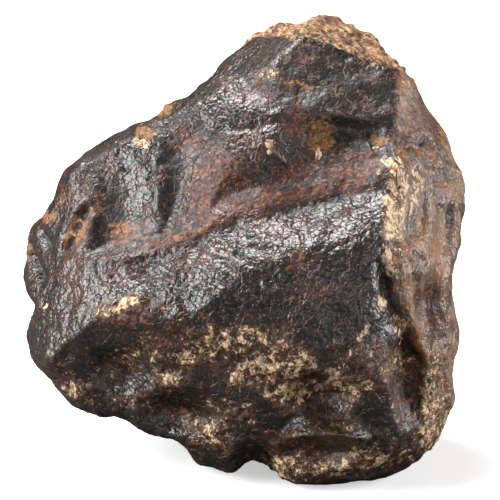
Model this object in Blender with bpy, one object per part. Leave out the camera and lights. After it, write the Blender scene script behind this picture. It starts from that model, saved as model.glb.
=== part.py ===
"""A fist-sized stony meteorite, one solid, standing on the flattened part of its underside.

Blender units are metres with +Z up, and the front of the stone faces -Y. The shape is worked out in
millimetres in the plane of the front view, which leans back by LEAN: u runs to the right, v up the plane
and w out of it, towards the viewer. The origin of the finished part is at the middle of its footprint.
"""

import math

import bmesh
import bpy
import numpy as np

MM = 0.001
LEAN = math.radians(15.0)
HEART = np.array([2.0, -2.0, -4.0])
FOOT_LEVEL = -55.4
VIEWING_DISTANCE = 620.0
FRONT_THICKNESS = 46.0
BACK_THICKNESS = 40.0
ROUNDNESS = 2.7
ICOSPHERE_SUBDIVISIONS = 7
KEPT_SHARE_OF_FACES = 0.11

# Rays that find the surface run from a flat disc inside the stone to a dome outside it
DISC_SHARE = 0.86
DOME_SHARE = 1.12
DOME_HEIGHT = 58.0

# The outline seen from the front, anticlockwise from the top
OUTLINE = (
    (0, 55.5), (2, 57), (6, 57.2), (10, 57.8), (15, 58.2), (17, 59.4), (19.5, 59.8), (22.5, 58.8),
    (25.5, 57), (29, 55.8), (31, 54), (33, 52.3), (34.3, 49.5), (37, 47.5), (40, 44), (43, 40),
    (45, 36), (47.5, 32.5), (49.3, 30), (50, 27), (51, 23.5), (52.7, 20), (54, 15.5), (54.8, 12),
    (54.3, 8), (53.3, 4), (52.7, 0), (51, -4), (50, -7), (50, -12), (51.3, -17), (52.8, -20),
    (53.2, -24), (51.8, -27.5), (51.3, -31), (51.5, -35), (51.3, -39), (50, -42), (48.5, -46),
    (46, -50), (43, -53), (39, -55.5), (34, -57.5), (30, -59), (25, -59.2), (20, -59.2), (16, -59.8),
    (12, -59.5), (9, -57.5), (7, -55.7), (4, -54.3), (1, -53.7), (-1, -54.5), (-3, -56.8),
    (-5.5, -57.2), (-8, -56.3), (-11, -55), (-13.5, -54.5), (-15, -52), (-16.5, -49.5), (-19, -48),
    (-22, -47), (-26, -46.3), (-29, -44.5), (-31, -42.8), (-34, -42), (-38, -42.6), (-41, -41.5),
    (-45, -39.5), (-48.5, -36), (-52, -32), (-55, -29), (-56.8, -25), (-57, -22), (-56.6, -19),
    (-55.5, -16.5), (-54.3, -15), (-55.3, -13), (-57.3, -10), (-58.6, -7), (-58.6, -5), (-57.6, -2),
    (-57.8, 0), (-57.2, 3), (-55.5, 6), (-52.5, 8.2), (-51.3, 10.5), (-50, 13), (-48.8, 16),
    (-47, 20), (-44, 22), (-41, 25), (-36, 28), (-32, 30), (-29, 31.2), (-25, 31.8), (-22.5, 33.5),
    (-21.5, 36), (-19, 37.2), (-15.2, 37.2), (-12.5, 41), (-9, 44.5), (-6, 48.5), (-3, 51.5), (-0.5, 54),
)

# Flat faces of the front: a point on each (u, v, w), then its fall in degrees to the right and upwards
FACES = {
    "plate": (20, 42, 13.2, 8, 28),
    "broken cap": (20, 51.5, 8.2, 28, 60),
    "flank": (0, 45, 8.5, -38, 24),
    "brim": (-30, 27.5, 8.5, -47, 61),
    "shoulder": (-25, 12, 17.3, -21, 24),
    "belly": (10, -5, 33.5, -2, 5),
    "left": (-44, 14, 8.5, -55, 15),
    "low left": (-42, -8, 15.5, -40, 13),
    "right side": (42, 0, 22, 50, 21),
    "under left": (-25, -28, 20.1, -23, -31),
    "under middle": (5, -35, 27.0, -4, -30),
    "under right": (44, -38, 16, 45, -10),
    "second step": (0, 26, 21.0, -8, 40),
    "terrace": (0, 38, 13.3, -15, 44),
}

# Hollows melted into the front: centre u, v, floor w, rise to the rim, reach left, right, down and up
HOLLOWS = (
    (40.3, -31, 14.5, 6, 4.4, 5.6, 16, 9),
    (16, -36.5, 21.3, 5, 9, 9, 6, 5),
    (13, -51.0, 15.0, 5, 12, 14, 6, 3.2),
    (1, -58, 0.0, 6, 5, 5, 6, 6),
    (-21, -42.5, 9.5, 5, 13, 11, 6, 6),
    (-38, -34, 9.5, 5, 11, 11, 9, 8),
    (-51.5, 9.5, 0.5, 5, 5, 4, 5, 4),
)

# The groove that parts the thumbprints from the belly (u, v), its depth (u, w), and their floors (u, w)
GROOVE = (
    (-42, -4), (-36, -3), (-25, -0.5), (-15, 3), (-9, 7), (-1, 10.7), (10, 13), (23, 15.6), (34.5, 17.4),
)
GROOVE_DEPTH = ((-42, 17.5), (-36, 19), (-20, 22), (0, 22.8), (12, 22), (24, 21.5), (34, 23))
THUMBPRINTS = (
    (-60, 60), (-16, 34), (-11, 24), (-7.5, 20.8), (-4, 20.4), (5, 20.4), (9, 18.6),
    (14, 16.4), (20, 15.0), (26, 14.8), (31, 15.6), (34, 19), (36.4, 25), (40, 40),
)

# Two dents in the shoulder, each the highest of its planes: a point (u, v, w), rise per mm right and up
DENTS = (
    (
        (-36, 14, 9.0, 0.0, -0.22), (-23.5, 16, 15.7, 0.70, -0.19),
        (-40, 14, 10.4, -1.1, -0.30), (-34, 27, 7.2, 0.20, 1.0),
    ),
    (
        (-23.5, 16, 15.4, -0.38, -0.30), (-19, 16, 13.2, 0.10, -0.30),
        (-8, 16, 19.6, 0.62, -0.19), (-20, 30, 11.2, 0.30, 0.9),
    ),
)

# Lines along the front: the route (u, v), how far it stands proud in mm, and its half width
FLUTE_ROUTES = (
    (((41, 19), (42.2, 11), (41.6, 5)), -1.8, 1.8),
    (((49.5, 8), (46.5, -3), (43.5, -14), (44, -22)), -2.2, 2.8),
    (((31.5, -4), (32.5, -10), (34.8, -16), (37.2, -21), (40, -25)), -2.6, 1.6),
    (((37, -1), (37.8, -12), (41, -20)), 1.6, 2.6),
    (((-56.5, -1.5), (-54.5, -4), (-52.8, -7)), -2.6, 1.1),
    (((-53, 5), (-51.5, 1.5)), -1.6, 1.1),
    (((-46.3, -0.5), (-45, 3), (-44, 6), (-42, 8.5), (-41, 9.5)), -1.8, 2.0),
)
LEDGE = {
    "u": 19.0, "v": -46.5, "w": 28.8, "half length": 9.5, "fall up": 0.8, "fall down": 1.3, "fall at ends": 4.0,
}
SIDE_WAVE = {"v": 20, "half length": 16, "depth": 1.2}

# How the groove is cut: its corners' blur, its depth below the dents and how far that reaches, in mm
GROOVE_BLUR = 2.0
GROOVE_CUT = 4.0
GROOVE_REACH = 5.0
LIP_WIDTH = 3.0
# Where the plate overhangs the thumbprints, and where the step under the terrace ends
BROW = {"v": 33.0, "w": 17.4, "left end": -14}
UNDER_TERRACE = {"v": 31.0, "w": 17.5}
# Rise or fall of the slopes round the thumbprints, in mm per mm upwards
SLOPE = {
    "lip": 0.12, "ramp": 0.66, "belly top": 0.95, "above the lip": 1.4, "brow": 0.5, "under terrace": 0.8,
}
# How widely the bends of the front are rounded, in mm
BEND = {
    "shoulder": 5.0, "plate": 1.5, "inside terrace": 0.8, "terrace": 2.5, "brim": 1.6, "left": 2.0,
    "low left": 2.5, "under left": 8.0, "under right": 6.0, "ledge": 1.5, "keel left": 1.0, "keel": 5.0,
    "right side": 1.6, "thumbprints": 1.4, "belly": 4.0, "hollows": 2.0, "broken cap": 0.8, "ramp": 2.0,
    "inside dents": 2.5, "rims of dents": 1.6, "lip": 0.8, "belly top": 1.2, "brow": 2.4, "back": 5.0,
    "back hollows": 2.5, "outline": 2.0,
}

# Facets of the back: a point (u, v, w) and the direction it faces
BACK_FACES = (
    ((5, 5, -42), (0.05, 0.12, -1)),
    ((40, 8, -32), (0.62, 0.1, -0.78)),
    ((-36, 2, -32), (-0.52, 0.05, -0.85)),
    ((14, 44, -33), (0.1, 0.6, -0.8)),
    ((-18, 30, -30), (-0.4, 0.55, -0.73)),
    ((-25, -34, -30), (-0.4, -0.5, -0.77)),
    ((36, -38, -34), (0.5, -0.4, -0.77)),
)
# Broad hollows of the back, and one under the stone: centre (u, v, w) and three radii
BACK_HOLLOWS = (
    ((-14, 20, -56), (17, 14, 19)),
    ((24, 24, -58), (13, 16, 20)),
    ((6, -14, -62), (18, 12, 24)),
    ((-40, -8, -44), (11, 13, 13)),
    ((14, -60, -12), (13, 7, 12)),
)
THUMBPRINT_SPACING = 21.0
THUMBPRINT_RELIEF = 3.2
# Slow wander of the whole shape and low lumps on it: their height and size in mm
WANDER, WANDER_SIZE = 0.8, 15.0
LUMPS, LUMPS_SIZE = 0.4, 9.0


def lattice(ix, iy, iz, seed):
    """A fixed pseudo-random value from 0 to 1 at each point of a whole-number lattice."""
    mixed = ix * 374761393 + iy * 668265263 + iz * 1274126177 + seed * 2654435761
    mixed = (mixed ^ (mixed >> 13)) * 1103515245
    mixed = (mixed ^ (mixed >> 16)) & 0x7FFFFFFF
    return mixed / float(0x7FFFFFFF)


def noise(p, size, seed):
    """Smooth noise from -1 to 1 whose bumps are about size across: lattice values, smoothly blended."""
    q = p / size
    cell = np.floor(q).astype(np.int64)
    f = q - cell
    f = f * f * f * (f * (f * 6 - 15) + 10)
    total = 0.0
    for dx in (0, 1):
        for dy in (0, 1):
            for dz in (0, 1):
                weight = np.prod(np.where((dx, dy, dz), f, 1 - f), axis=-1)
                corner = lattice(cell[..., 0] + dx, cell[..., 1] + dy, cell[..., 2] + dz, seed)
                total = total + weight * corner
    return total * 2 - 1


def fractal(p, size, octaves, seed):
    """Noise summed over octaves, each half as wide and half as high as the one before."""
    return sum(noise(p + 17.3 * k, size / 2**k, seed + k) / 2**k for k in range(octaves))


def nearest_seed(p, spacing, seed):
    """Distance to the nearest of the points scattered one to each cell of a cubic grid."""
    q = p / spacing
    cell = np.floor(q).astype(np.int64)
    nearest = np.full(p.shape[:-1], 9.0)
    for shift in np.ndindex(3, 3, 3):
        corner = cell + np.array(shift) - 1
        jitter = [lattice(corner[..., 0], corner[..., 1], corner[..., 2], seed + k) for k in range(3)]
        scattered = corner + 0.15 + 0.7 * np.stack(jitter, axis=-1)
        nearest = np.minimum(nearest, np.linalg.norm(q - scattered, axis=-1))
    return nearest * spacing


def smooth_max(a, b, width):
    """The larger of a and b, with the corner where they cross rounded over width."""
    h = np.clip(0.5 + 0.5 * (a - b) / width, 0, 1)
    return b + (a - b) * h + width * h * (1 - h)


def smooth_min(a, b, width):
    return -smooth_max(-a, -b, width)


def ease(x, low, high):
    """0 below low, 1 above high and an S curve between them."""
    t = np.clip((x - low) / (high - low), 0, 1)
    return t * t * (3 - 2 * t)


def along(x, points, blur=0.0):
    """Height at x of the line through points, lightly averaged over blur to round its corners."""
    xs, ys = np.array(points, float).T
    middle = np.interp(x, xs, ys)
    return (np.interp(x - blur, xs, ys) + 2 * middle + np.interp(x + blur, xs, ys)) / 4


def outline_reach(angle, blur):
    """Distance from the heart to the outline at each angle, averaged over blur half-degrees."""
    corners = np.array(OUTLINE, float) - HEART[:2]
    turn = np.arctan2(corners[:, 1], corners[:, 0])
    order = np.argsort(turn)
    turn, far = turn[order], np.hypot(*corners.T)[order]
    turns = np.r_[turn - 2 * np.pi, turn, turn + 2 * np.pi]
    ring = np.interp(np.linspace(-np.pi, np.pi, 721), turns, np.r_[far, far, far])[:-1]
    offsets = np.arange(-60, 61)
    weights = np.exp(-0.5 * (offsets / blur) ** 2)
    ring = np.convolve(np.r_[ring[-60:], ring, ring[:60]], weights / weights.sum(), mode="valid")
    return np.interp(angle, np.linspace(-np.pi, np.pi, 721), np.r_[ring, ring[0]])


def face_depth(p, name):
    """w of a named flat face at each point's u and v."""
    u0, v0, w0, right, up = FACES[name]
    fall_right, fall_up = np.tan(np.radians((right, up)))
    return w0 - fall_right * (p[..., 0] - u0) - fall_up * (p[..., 1] - v0)


def hollow_depth(p, u0, v0, floor, rise, left, right, down, up):
    """w of a bowl that rises by rise from its floor over its reach to each side."""
    du, dv = p[..., 0] - u0, p[..., 1] - v0
    x = du / np.where(du < 0, left, right)
    y = dv / np.where(dv < 0, down, up)
    return floor + rise * (x * x + y * y)


def route_gap(p, route):
    """Distance in the front view from each point to the broken line through route."""
    gaps = []
    for start, end in zip(np.array(route[:-1], float), np.array(route[1:], float)):
        run = end - start
        share = np.clip((p[..., :2] - start) @ run / (run @ run), 0, 1)
        gaps.append(np.linalg.norm(p[..., :2] - start - share[..., None] * run, axis=-1))
    return np.min(gaps, axis=0)


def thumbprint_depth(p):
    """w of the dents of the upper half, of the groove below them and of the slope up to the belly."""
    u, v = p[..., 0], p[..., 1]
    above = v - along(u, GROOVE, GROOVE_BLUR)
    groove = along(u, GROOVE_DEPTH, GROOVE_BLUR)
    lip = groove - SLOPE["lip"] * above
    rise = SLOPE["ramp"] - 0.12 * ease(u, 0, 16) + 1.2 * ease(-u, 16, 27)
    ramp = groove - rise * above
    fall = SLOPE["belly top"] - 0.57 * ease(-u, -4, 26) - 0.2 * ease(u, 20, 34)
    belly_top = lip - fall * (LIP_WIDTH + above) - SLOPE["above the lip"] * np.maximum(above, 0)
    near_groove = np.exp(-((above / GROOVE_REACH) ** 2))
    shoulder = face_depth(p, "shoulder") - 1.0
    floor = smooth_min(along(u, THUMBPRINTS, 0.7), shoulder, BEND["thumbprints"]) - GROOVE_CUT * near_groove
    for planes in DENTS:
        dent = np.full_like(u, -99.0)
        for u0, v0, w0, right, up in planes:
            dent = smooth_max(dent, w0 + right * (u - u0) + up * (v - v0), BEND["inside dents"])
        floor = smooth_min(floor, dent, BEND["rims of dents"])
    depth = smooth_max(floor, smooth_min(ramp, lip, BEND["lip"]), BEND["ramp"])
    depth = smooth_max(depth, belly_top, BEND["belly top"])
    brow_line = BROW["v"] - 0.02 * (u - 20)
    brow = BROW["w"] + (SLOPE["brow"] + 0.7 * ease(u, 16, 24)) * (v - brow_line)
    under_brow = smooth_max(depth, brow - 30 * ease(-u, -9, -4), BEND["brow"])
    return np.where(u > BROW["left end"], under_brow, depth)


def front_depth(p):
    """w of the front at each point's u and v: flat faces, then dents, steps, hollows and flutes."""
    u, v = p[..., 0], p[..., 1]
    face = {name: face_depth(p, name) for name in FACES}
    w = smooth_min(face["belly"], face["shoulder"], BEND["shoulder"])
    w = smooth_min(w, face["plate"], BEND["plate"])
    terrace = smooth_max(face["flank"], face["terrace"], BEND["inside terrace"])
    w = smooth_min(w, terrace, BEND["terrace"])
    w = smooth_min(w, face["brim"], BEND["brim"])
    left = smooth_min(face["low left"], face["left"], BEND["left"])
    w = smooth_min(w, left, BEND["low left"])
    under = smooth_min(face["under left"], face["under middle"], BEND["under left"])
    under = smooth_min(under, face["under right"], BEND["under right"])
    ledge_u = (u - LEDGE["u"]) / LEDGE["half length"]
    upper = LEDGE["w"] - LEDGE["fall up"] * (v - LEDGE["v"])
    lower = LEDGE["w"] + LEDGE["fall down"] * (v - LEDGE["v"])
    ledge = smooth_min(upper, lower, BEND["ledge"]) - LEDGE["fall at ends"] * ledge_u**4
    under = smooth_max(under, ledge, BEND["ledge"])
    w = smooth_min(w, under, BEND["keel left"] + BEND["keel"] * ease(u, -34, -12))
    wave = np.cos((v - SIDE_WAVE["v"]) * np.pi / SIDE_WAVE["half length"]) * ease(v, -22, -4)
    side_fall = math.tan(math.radians(FACES["right side"][3]))
    w = smooth_min(w, face["right side"] + side_fall * SIDE_WAVE["depth"] * wave, BEND["right side"])
    below = along(u, GROOVE, GROOVE_BLUR) - v
    w = smooth_min(w, thumbprint_depth(p), BEND["thumbprints"] + BEND["belly"] * ease(below, -2, 3))
    under_terrace = UNDER_TERRACE["w"] + SLOPE["under terrace"] * (v - UNDER_TERRACE["v"])
    step = smooth_max(face["second step"], under_terrace, BEND["hollows"])
    w = smooth_min(w, step, BEND["brim"])
    for hollow in HOLLOWS:
        w = smooth_min(w, hollow_depth(p, *hollow), BEND["hollows"])
    w = smooth_min(w, face["broken cap"], BEND["broken cap"])
    for route, height, half_width in FLUTE_ROUTES:
        w = w + height * np.exp(-((route_gap(p, route) / half_width) ** 2))
    return w


def pillow(p):
    """Below zero inside a pillow whose rim is the outline and whose back and front are rounded."""
    out = p - HEART
    angle = np.arctan2(out[..., 1], out[..., 0])
    broad = outline_reach(angle, 24)
    rim = -7.5 - (2 * out[..., 0] + 4 * out[..., 1]) / broad
    above = p[..., 2] - rim
    height = above / np.where(above > 0, FRONT_THICKNESS, BACK_THICKNESS)
    near_rim = np.exp(-((height / 0.36) ** 2))
    reach = broad + (outline_reach(angle, 1.2) - broad) * near_rim
    reach = reach * (VIEWING_DISTANCE - rim) / VIEWING_DISTANCE
    flat = np.hypot(out[..., 0], out[..., 1]) / reach
    return ((flat**ROUNDNESS + np.abs(height) ** ROUNDNESS) ** (1 / ROUNDNESS) - 1) * BACK_THICKNESS


def back_hollow(p, centre, radii):
    """Below zero inside an egg-shaped hollow."""
    q = (p - np.array(centre, float)) / np.array(radii, float)
    return (np.linalg.norm(q, axis=-1) - 1) * min(radii)


def stone(p):
    """Below zero inside the stone and above zero outside it."""
    wander = np.stack([noise(p, WANDER_SIZE, seed) for seed in (3, 4, 5)], axis=-1)
    q = p + WANDER * wander
    body = smooth_max((q[..., 2] - front_depth(q)) * 0.72, pillow(p), BEND["outline"])
    for point, facing in BACK_FACES:
        facing = np.array(facing) / np.linalg.norm(facing)
        body = smooth_max(body, (q - np.array(point, float)) @ facing, BEND["back"])
    for centre, radii in BACK_HOLLOWS:
        body = smooth_max(body, -back_hollow(q, centre, radii), BEND["back hollows"])
    hidden = ease(-p[..., 2], 10.0, 20.0)
    dent = 1 - (nearest_seed(q, THUMBPRINT_SPACING, 7) / (0.62 * THUMBPRINT_SPACING)) ** 2
    body = body + hidden * THUMBPRINT_RELIEF * np.maximum(dent, 0)
    body = body + LUMPS * fractal(p, LUMPS_SIZE, 3, 11)
    level = p[..., 1] * math.cos(LEAN) + p[..., 2] * math.sin(LEAN)
    return np.maximum(body, FOOT_LEVEL - level)


def surface_points(ball):
    """Moves points of a unit sphere to the stone: a coarse march in along each ray, then halving."""
    reach = outline_reach(np.arctan2(ball[:, 1], ball[:, 0]), 24)[:, None]
    disc = HEART + ball * DISC_SHARE * reach * (1, 1, 0)
    dome = HEART + ball * np.hstack([DOME_SHARE * reach, DOME_SHARE * reach, 0 * reach + DOME_HEIGHT])
    steps = np.linspace(1.0, 0.0, 41)
    inner, outer = np.zeros(len(ball)), np.ones(len(ball))
    waiting = np.arange(len(ball))
    for far, near in zip(steps[:-1], steps[1:]):
        tried = disc[waiting] + (dome - disc)[waiting] * near
        inside = stone(tried) < 0
        inner[waiting[inside]], outer[waiting[inside]] = near, far
        waiting = waiting[~inside]
    for _ in range(15):
        middle = (inner + outer) / 2
        inside = stone(disc + (dome - disc) * middle[:, None]) < 0
        inner, outer = np.where(inside, middle, inner), np.where(inside, outer, middle)
    return disc + (dome - disc) * ((inner + outer) / 2)[:, None]


def stand_upright(p):
    """Turn points of the leaning front view to the standing part, its foot at z = 0, in metres."""
    u, v, w = p.T
    y = v * math.sin(LEAN) - w * math.cos(LEAN)
    z = v * math.cos(LEAN) + w * math.sin(LEAN) - FOOT_LEVEL
    standing = np.stack([u, y, np.where(z < 0.01, 0.0, z)], axis=-1) * MM
    middle = (standing.min(axis=0) + standing.max(axis=0)) / 2
    return standing - np.array([middle[0], middle[1], 0.0])


def mesh_points(mesh):
    points = np.empty(len(mesh.vertices) * 3, np.float32)
    mesh.vertices.foreach_get("co", points)
    return points.reshape(-1, 3).astype(float)


def make_crust():
    """Dark, slightly glossy fusion crust with a brown cast."""
    material = bpy.data.materials.new("crust")
    material.use_nodes = True
    shader = material.node_tree.nodes["Principled BSDF"]
    shader.inputs["Base Color"].default_value = (0.055, 0.043, 0.036, 1.0)
    shader.inputs["Roughness"].default_value = 0.45
    shader.inputs["Metallic"].default_value = 0.0
    return material


def make_stone(collection):
    """An icosphere moved out to the stone's surface, thinned, and set exactly flat where it rests."""
    mesh = bpy.data.meshes.new("stone")
    ball = bmesh.new()
    bmesh.ops.create_icosphere(ball, subdivisions=ICOSPHERE_SUBDIVISIONS, radius=1.0)
    ball.to_mesh(mesh)
    ball.free()
    points = stand_upright(surface_points(mesh_points(mesh)))
    mesh.vertices.foreach_set("co", points.astype(np.float32).ravel())
    obj = bpy.data.objects.new("stone", mesh)
    collection.objects.link(obj)

    thin = obj.modifiers.new("thin", "DECIMATE")
    thin.ratio = KEPT_SHARE_OF_FACES
    thinned = bpy.data.meshes.new_from_object(obj.evaluated_get(bpy.context.evaluated_depsgraph_get()))
    obj.modifiers.clear()
    obj.data = thinned
    bpy.data.meshes.remove(mesh)
    thinned.name = "stone"
    points = mesh_points(thinned)
    points[:, 2] = np.where(points[:, 2] < 0.02 * MM, 0.0, points[:, 2])
    thinned.vertices.foreach_set("co", points.astype(np.float32).ravel())
    thinned.materials.append(make_crust())
    thinned.shade_smooth()
    thinned.update()
    return obj


def main():
    for obj in list(bpy.data.objects):
        bpy.data.objects.remove(obj)
    collection = bpy.data.collections.new("meteorite")
    bpy.context.scene.collection.children.link(collection)
    make_stone(collection)


main()
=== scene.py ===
"""A fist-sized stony meteorite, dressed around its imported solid, with its stage, lights and camera.

The stone's surface is worked out in millimetres in the plane of the front view, which leans back by
LEAN: u runs to the right, v up the plane and w out of it, towards the viewer. The finished piece stands
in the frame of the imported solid, in metres, with its foot at z = 0.
"""

import math

import bpy
import numpy as np
from bpy.props import FloatProperty, FloatVectorProperty, IntProperty, PointerProperty
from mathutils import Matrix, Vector


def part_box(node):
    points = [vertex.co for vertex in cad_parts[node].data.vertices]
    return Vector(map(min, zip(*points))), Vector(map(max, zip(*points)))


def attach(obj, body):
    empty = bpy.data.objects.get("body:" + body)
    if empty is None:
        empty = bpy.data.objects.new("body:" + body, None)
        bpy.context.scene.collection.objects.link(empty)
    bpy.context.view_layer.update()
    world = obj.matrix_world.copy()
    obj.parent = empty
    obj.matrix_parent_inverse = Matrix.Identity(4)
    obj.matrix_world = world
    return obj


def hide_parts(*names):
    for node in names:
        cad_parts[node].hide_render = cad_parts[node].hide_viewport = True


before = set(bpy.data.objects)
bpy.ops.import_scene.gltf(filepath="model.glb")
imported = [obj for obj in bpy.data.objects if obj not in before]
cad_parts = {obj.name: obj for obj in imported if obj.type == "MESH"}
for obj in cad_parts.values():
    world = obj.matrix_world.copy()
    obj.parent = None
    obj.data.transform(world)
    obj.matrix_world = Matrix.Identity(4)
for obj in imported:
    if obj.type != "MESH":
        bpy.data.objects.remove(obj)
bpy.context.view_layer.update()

bl_info = {
    "name": "Meteorite",
    "version": (1, 0, 0),
    "blender": (4, 5, 0),
    "location": "3D View > Sidebar > Meteorite",
    "description": "Makes a stony meteorite with a fusion crust, its stage, lights and camera",
    "category": "Object",
}

MM = 0.001
LEAN = math.radians(15.0)
HEART = np.array([2.0, -2.0, -4.0])
FOOT_LEVEL = -55.4
VIEWING_DISTANCE = 620.0
FRONT_THICKNESS = 46.0
BACK_THICKNESS = 40.0
ROUNDNESS = 2.7

# Rays that find the surface run from a flat disc inside the stone to a dome outside it
DISC_SHARE = 0.86
DOME_SHARE = 1.12
DOME_HEIGHT = 58.0

# The outline seen from the front, anticlockwise from the top
OUTLINE = (
    (0, 55.5), (2, 57), (6, 57.2), (10, 57.8), (15, 58.2), (17, 59.4), (19.5, 59.8), (22.5, 58.8),
    (25.5, 57), (29, 55.8), (31, 54), (33, 52.3), (34.3, 49.5), (37, 47.5), (40, 44), (43, 40),
    (45, 36), (47.5, 32.5), (49.3, 30), (50, 27), (51, 23.5), (52.7, 20), (54, 15.5), (54.8, 12),
    (54.3, 8), (53.3, 4), (52.7, 0), (51, -4), (50, -7), (50, -12), (51.3, -17), (52.8, -20),
    (53.2, -24), (51.8, -27.5), (51.3, -31), (51.5, -35), (51.3, -39), (50, -42), (48.5, -46),
    (46, -50), (43, -53), (39, -55.5), (34, -57.5), (30, -59), (25, -59.2), (20, -59.2), (16, -59.8),
    (12, -59.5), (9, -57.5), (7, -55.7), (4, -54.3), (1, -53.7), (-1, -54.5), (-3, -56.8),
    (-5.5, -57.2), (-8, -56.3), (-11, -55), (-13.5, -54.5), (-15, -52), (-16.5, -49.5), (-19, -48),
    (-22, -47), (-26, -46.3), (-29, -44.5), (-31, -42.8), (-34, -42), (-38, -42.6), (-41, -41.5),
    (-45, -39.5), (-48.5, -36), (-52, -32), (-55, -29), (-56.8, -25), (-57, -22), (-56.6, -19),
    (-55.5, -16.5), (-54.3, -15), (-55.3, -13), (-57.3, -10), (-58.6, -7), (-58.6, -5), (-57.6, -2),
    (-57.8, 0), (-57.2, 3), (-55.5, 6), (-52.5, 8.2), (-51.3, 10.5), (-50, 13), (-48.8, 16),
    (-47, 20), (-44, 22), (-41, 25), (-36, 28), (-32, 30), (-29, 31.2), (-25, 31.8), (-22.5, 33.5),
    (-21.5, 36), (-19, 37.2), (-15.2, 37.2), (-12.5, 41), (-9, 44.5), (-6, 48.5), (-3, 51.5), (-0.5, 54),
)

# Flat faces of the front: a point on each (u, v, w), then its fall in degrees to the right and upwards
FACES = {
    "plate": (20, 42, 13.2, 8, 28),
    "broken cap": (20, 51.5, 8.2, 28, 60),
    "flank": (0, 45, 8.5, -38, 24),
    "brim": (-30, 27.5, 8.5, -47, 61),
    "shoulder": (-25, 12, 17.3, -21, 24),
    "belly": (10, -5, 33.5, -2, 5),
    "left": (-44, 14, 8.5, -55, 15),
    "low left": (-42, -8, 15.5, -40, 13),
    "right side": (42, 0, 22, 50, 21),
    "under left": (-25, -28, 20.1, -23, -31),
    "under middle": (5, -35, 27.0, -4, -30),
    "under right": (44, -38, 16, 45, -10),
    "second step": (0, 26, 21.0, -8, 40),
    "terrace": (0, 38, 13.3, -15, 44),
}

# Hollows melted into the front: centre u, v, floor w, rise to the rim, reach left, right, down and up
HOLLOWS = (
    (40.3, -31, 14.5, 6, 4.4, 5.6, 16, 9),
    (16, -36.5, 21.3, 5, 9, 9, 6, 5),
    (13, -51.0, 15.0, 5, 12, 14, 6, 3.2),
    (1, -58, 0.0, 6, 5, 5, 6, 6),
    (-21, -42.5, 9.5, 5, 13, 11, 6, 6),
    (-38, -34, 9.5, 5, 11, 11, 9, 8),
    (-51.5, 9.5, 0.5, 5, 5, 4, 5, 4),
)

# The groove that parts the thumbprints from the belly (u, v), its depth (u, w), and their floors (u, w)
GROOVE = (
    (-42, -4), (-36, -3), (-25, -0.5), (-15, 3), (-9, 7), (-1, 10.7), (10, 13), (23, 15.6), (34.5, 17.4),
)
GROOVE_DEPTH = ((-42, 17.5), (-36, 19), (-20, 22), (0, 22.8), (12, 22), (24, 21.5), (34, 23))
THUMBPRINTS = (
    (-60, 60), (-16, 34), (-11, 24), (-7.5, 20.8), (-4, 20.4), (5, 20.4), (9, 18.6),
    (14, 16.4), (20, 15.0), (26, 14.8), (31, 15.6), (34, 19), (36.4, 25), (40, 40),
)

# Two dents in the shoulder, each the highest of its planes: a point (u, v, w), rise per mm right and up
DENTS = (
    (
        (-36, 14, 9.0, 0.0, -0.22), (-23.5, 16, 15.7, 0.70, -0.19),
        (-40, 14, 10.4, -1.1, -0.30), (-34, 27, 7.2, 0.20, 1.0),
    ),
    (
        (-23.5, 16, 15.4, -0.38, -0.30), (-19, 16, 13.2, 0.10, -0.30),
        (-8, 16, 19.6, 0.62, -0.19), (-20, 30, 11.2, 0.30, 0.9),
    ),
)

# Lines along the front: the route (u, v), how far it stands proud in mm, and its half width
FLUTE_ROUTES = (
    (((41, 19), (42.2, 11), (41.6, 5)), -1.8, 1.8),
    (((49.5, 8), (46.5, -3), (43.5, -14), (44, -22)), -2.2, 2.8),
    (((31.5, -4), (32.5, -10), (34.8, -16), (37.2, -21), (40, -25)), -2.6, 1.6),
    (((37, -1), (37.8, -12), (41, -20)), 1.6, 2.6),
    (((-56.5, -1.5), (-54.5, -4), (-52.8, -7)), -2.6, 1.1),
    (((-53, 5), (-51.5, 1.5)), -1.6, 1.1),
    (((-46.3, -0.5), (-45, 3), (-44, 6), (-42, 8.5), (-41, 9.5)), -1.8, 2.0),
)
LEDGE = {
    "u": 19.0, "v": -46.5, "w": 28.8, "half length": 9.5, "fall up": 0.8, "fall down": 1.3, "fall at ends": 4.0,
}
SIDE_WAVE = {"v": 20, "half length": 16, "depth": 1.2}

# How the groove is cut: its corners' blur, its depth below the dents and how far that reaches, in mm
GROOVE_BLUR = 2.0
GROOVE_CUT = 4.0
GROOVE_REACH = 5.0
LIP_WIDTH = 3.0
# Where the plate overhangs the thumbprints, and where the step under the terrace ends
BROW = {"v": 33.0, "w": 17.4, "left end": -14}
UNDER_TERRACE = {"v": 31.0, "w": 17.5}
# Rise or fall of the slopes round the thumbprints, in mm per mm upwards
SLOPE = {
    "lip": 0.12, "ramp": 0.66, "belly top": 0.95, "above the lip": 1.4, "brow": 0.5, "under terrace": 0.8,
}
# How widely the bends of the front are rounded, in mm
BEND = {
    "shoulder": 5.0, "plate": 1.5, "inside terrace": 0.8, "terrace": 2.5, "brim": 1.6, "left": 2.0,
    "low left": 2.5, "under left": 8.0, "under right": 6.0, "ledge": 1.5, "keel left": 1.0, "keel": 5.0,
    "right side": 1.6, "thumbprints": 1.4, "belly": 4.0, "hollows": 2.0, "broken cap": 0.8, "ramp": 2.0,
    "inside dents": 2.5, "rims of dents": 1.6, "lip": 0.8, "belly top": 1.2, "brow": 2.4, "back": 5.0,
    "back hollows": 2.5, "outline": 2.0,
}

# Facets of the back: a point (u, v, w) and the direction it faces
BACK_FACES = (
    ((5, 5, -42), (0.05, 0.12, -1)),
    ((40, 8, -32), (0.62, 0.1, -0.78)),
    ((-36, 2, -32), (-0.52, 0.05, -0.85)),
    ((14, 44, -33), (0.1, 0.6, -0.8)),
    ((-18, 30, -30), (-0.4, 0.55, -0.73)),
    ((-25, -34, -30), (-0.4, -0.5, -0.77)),
    ((36, -38, -34), (0.5, -0.4, -0.77)),
)
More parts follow.
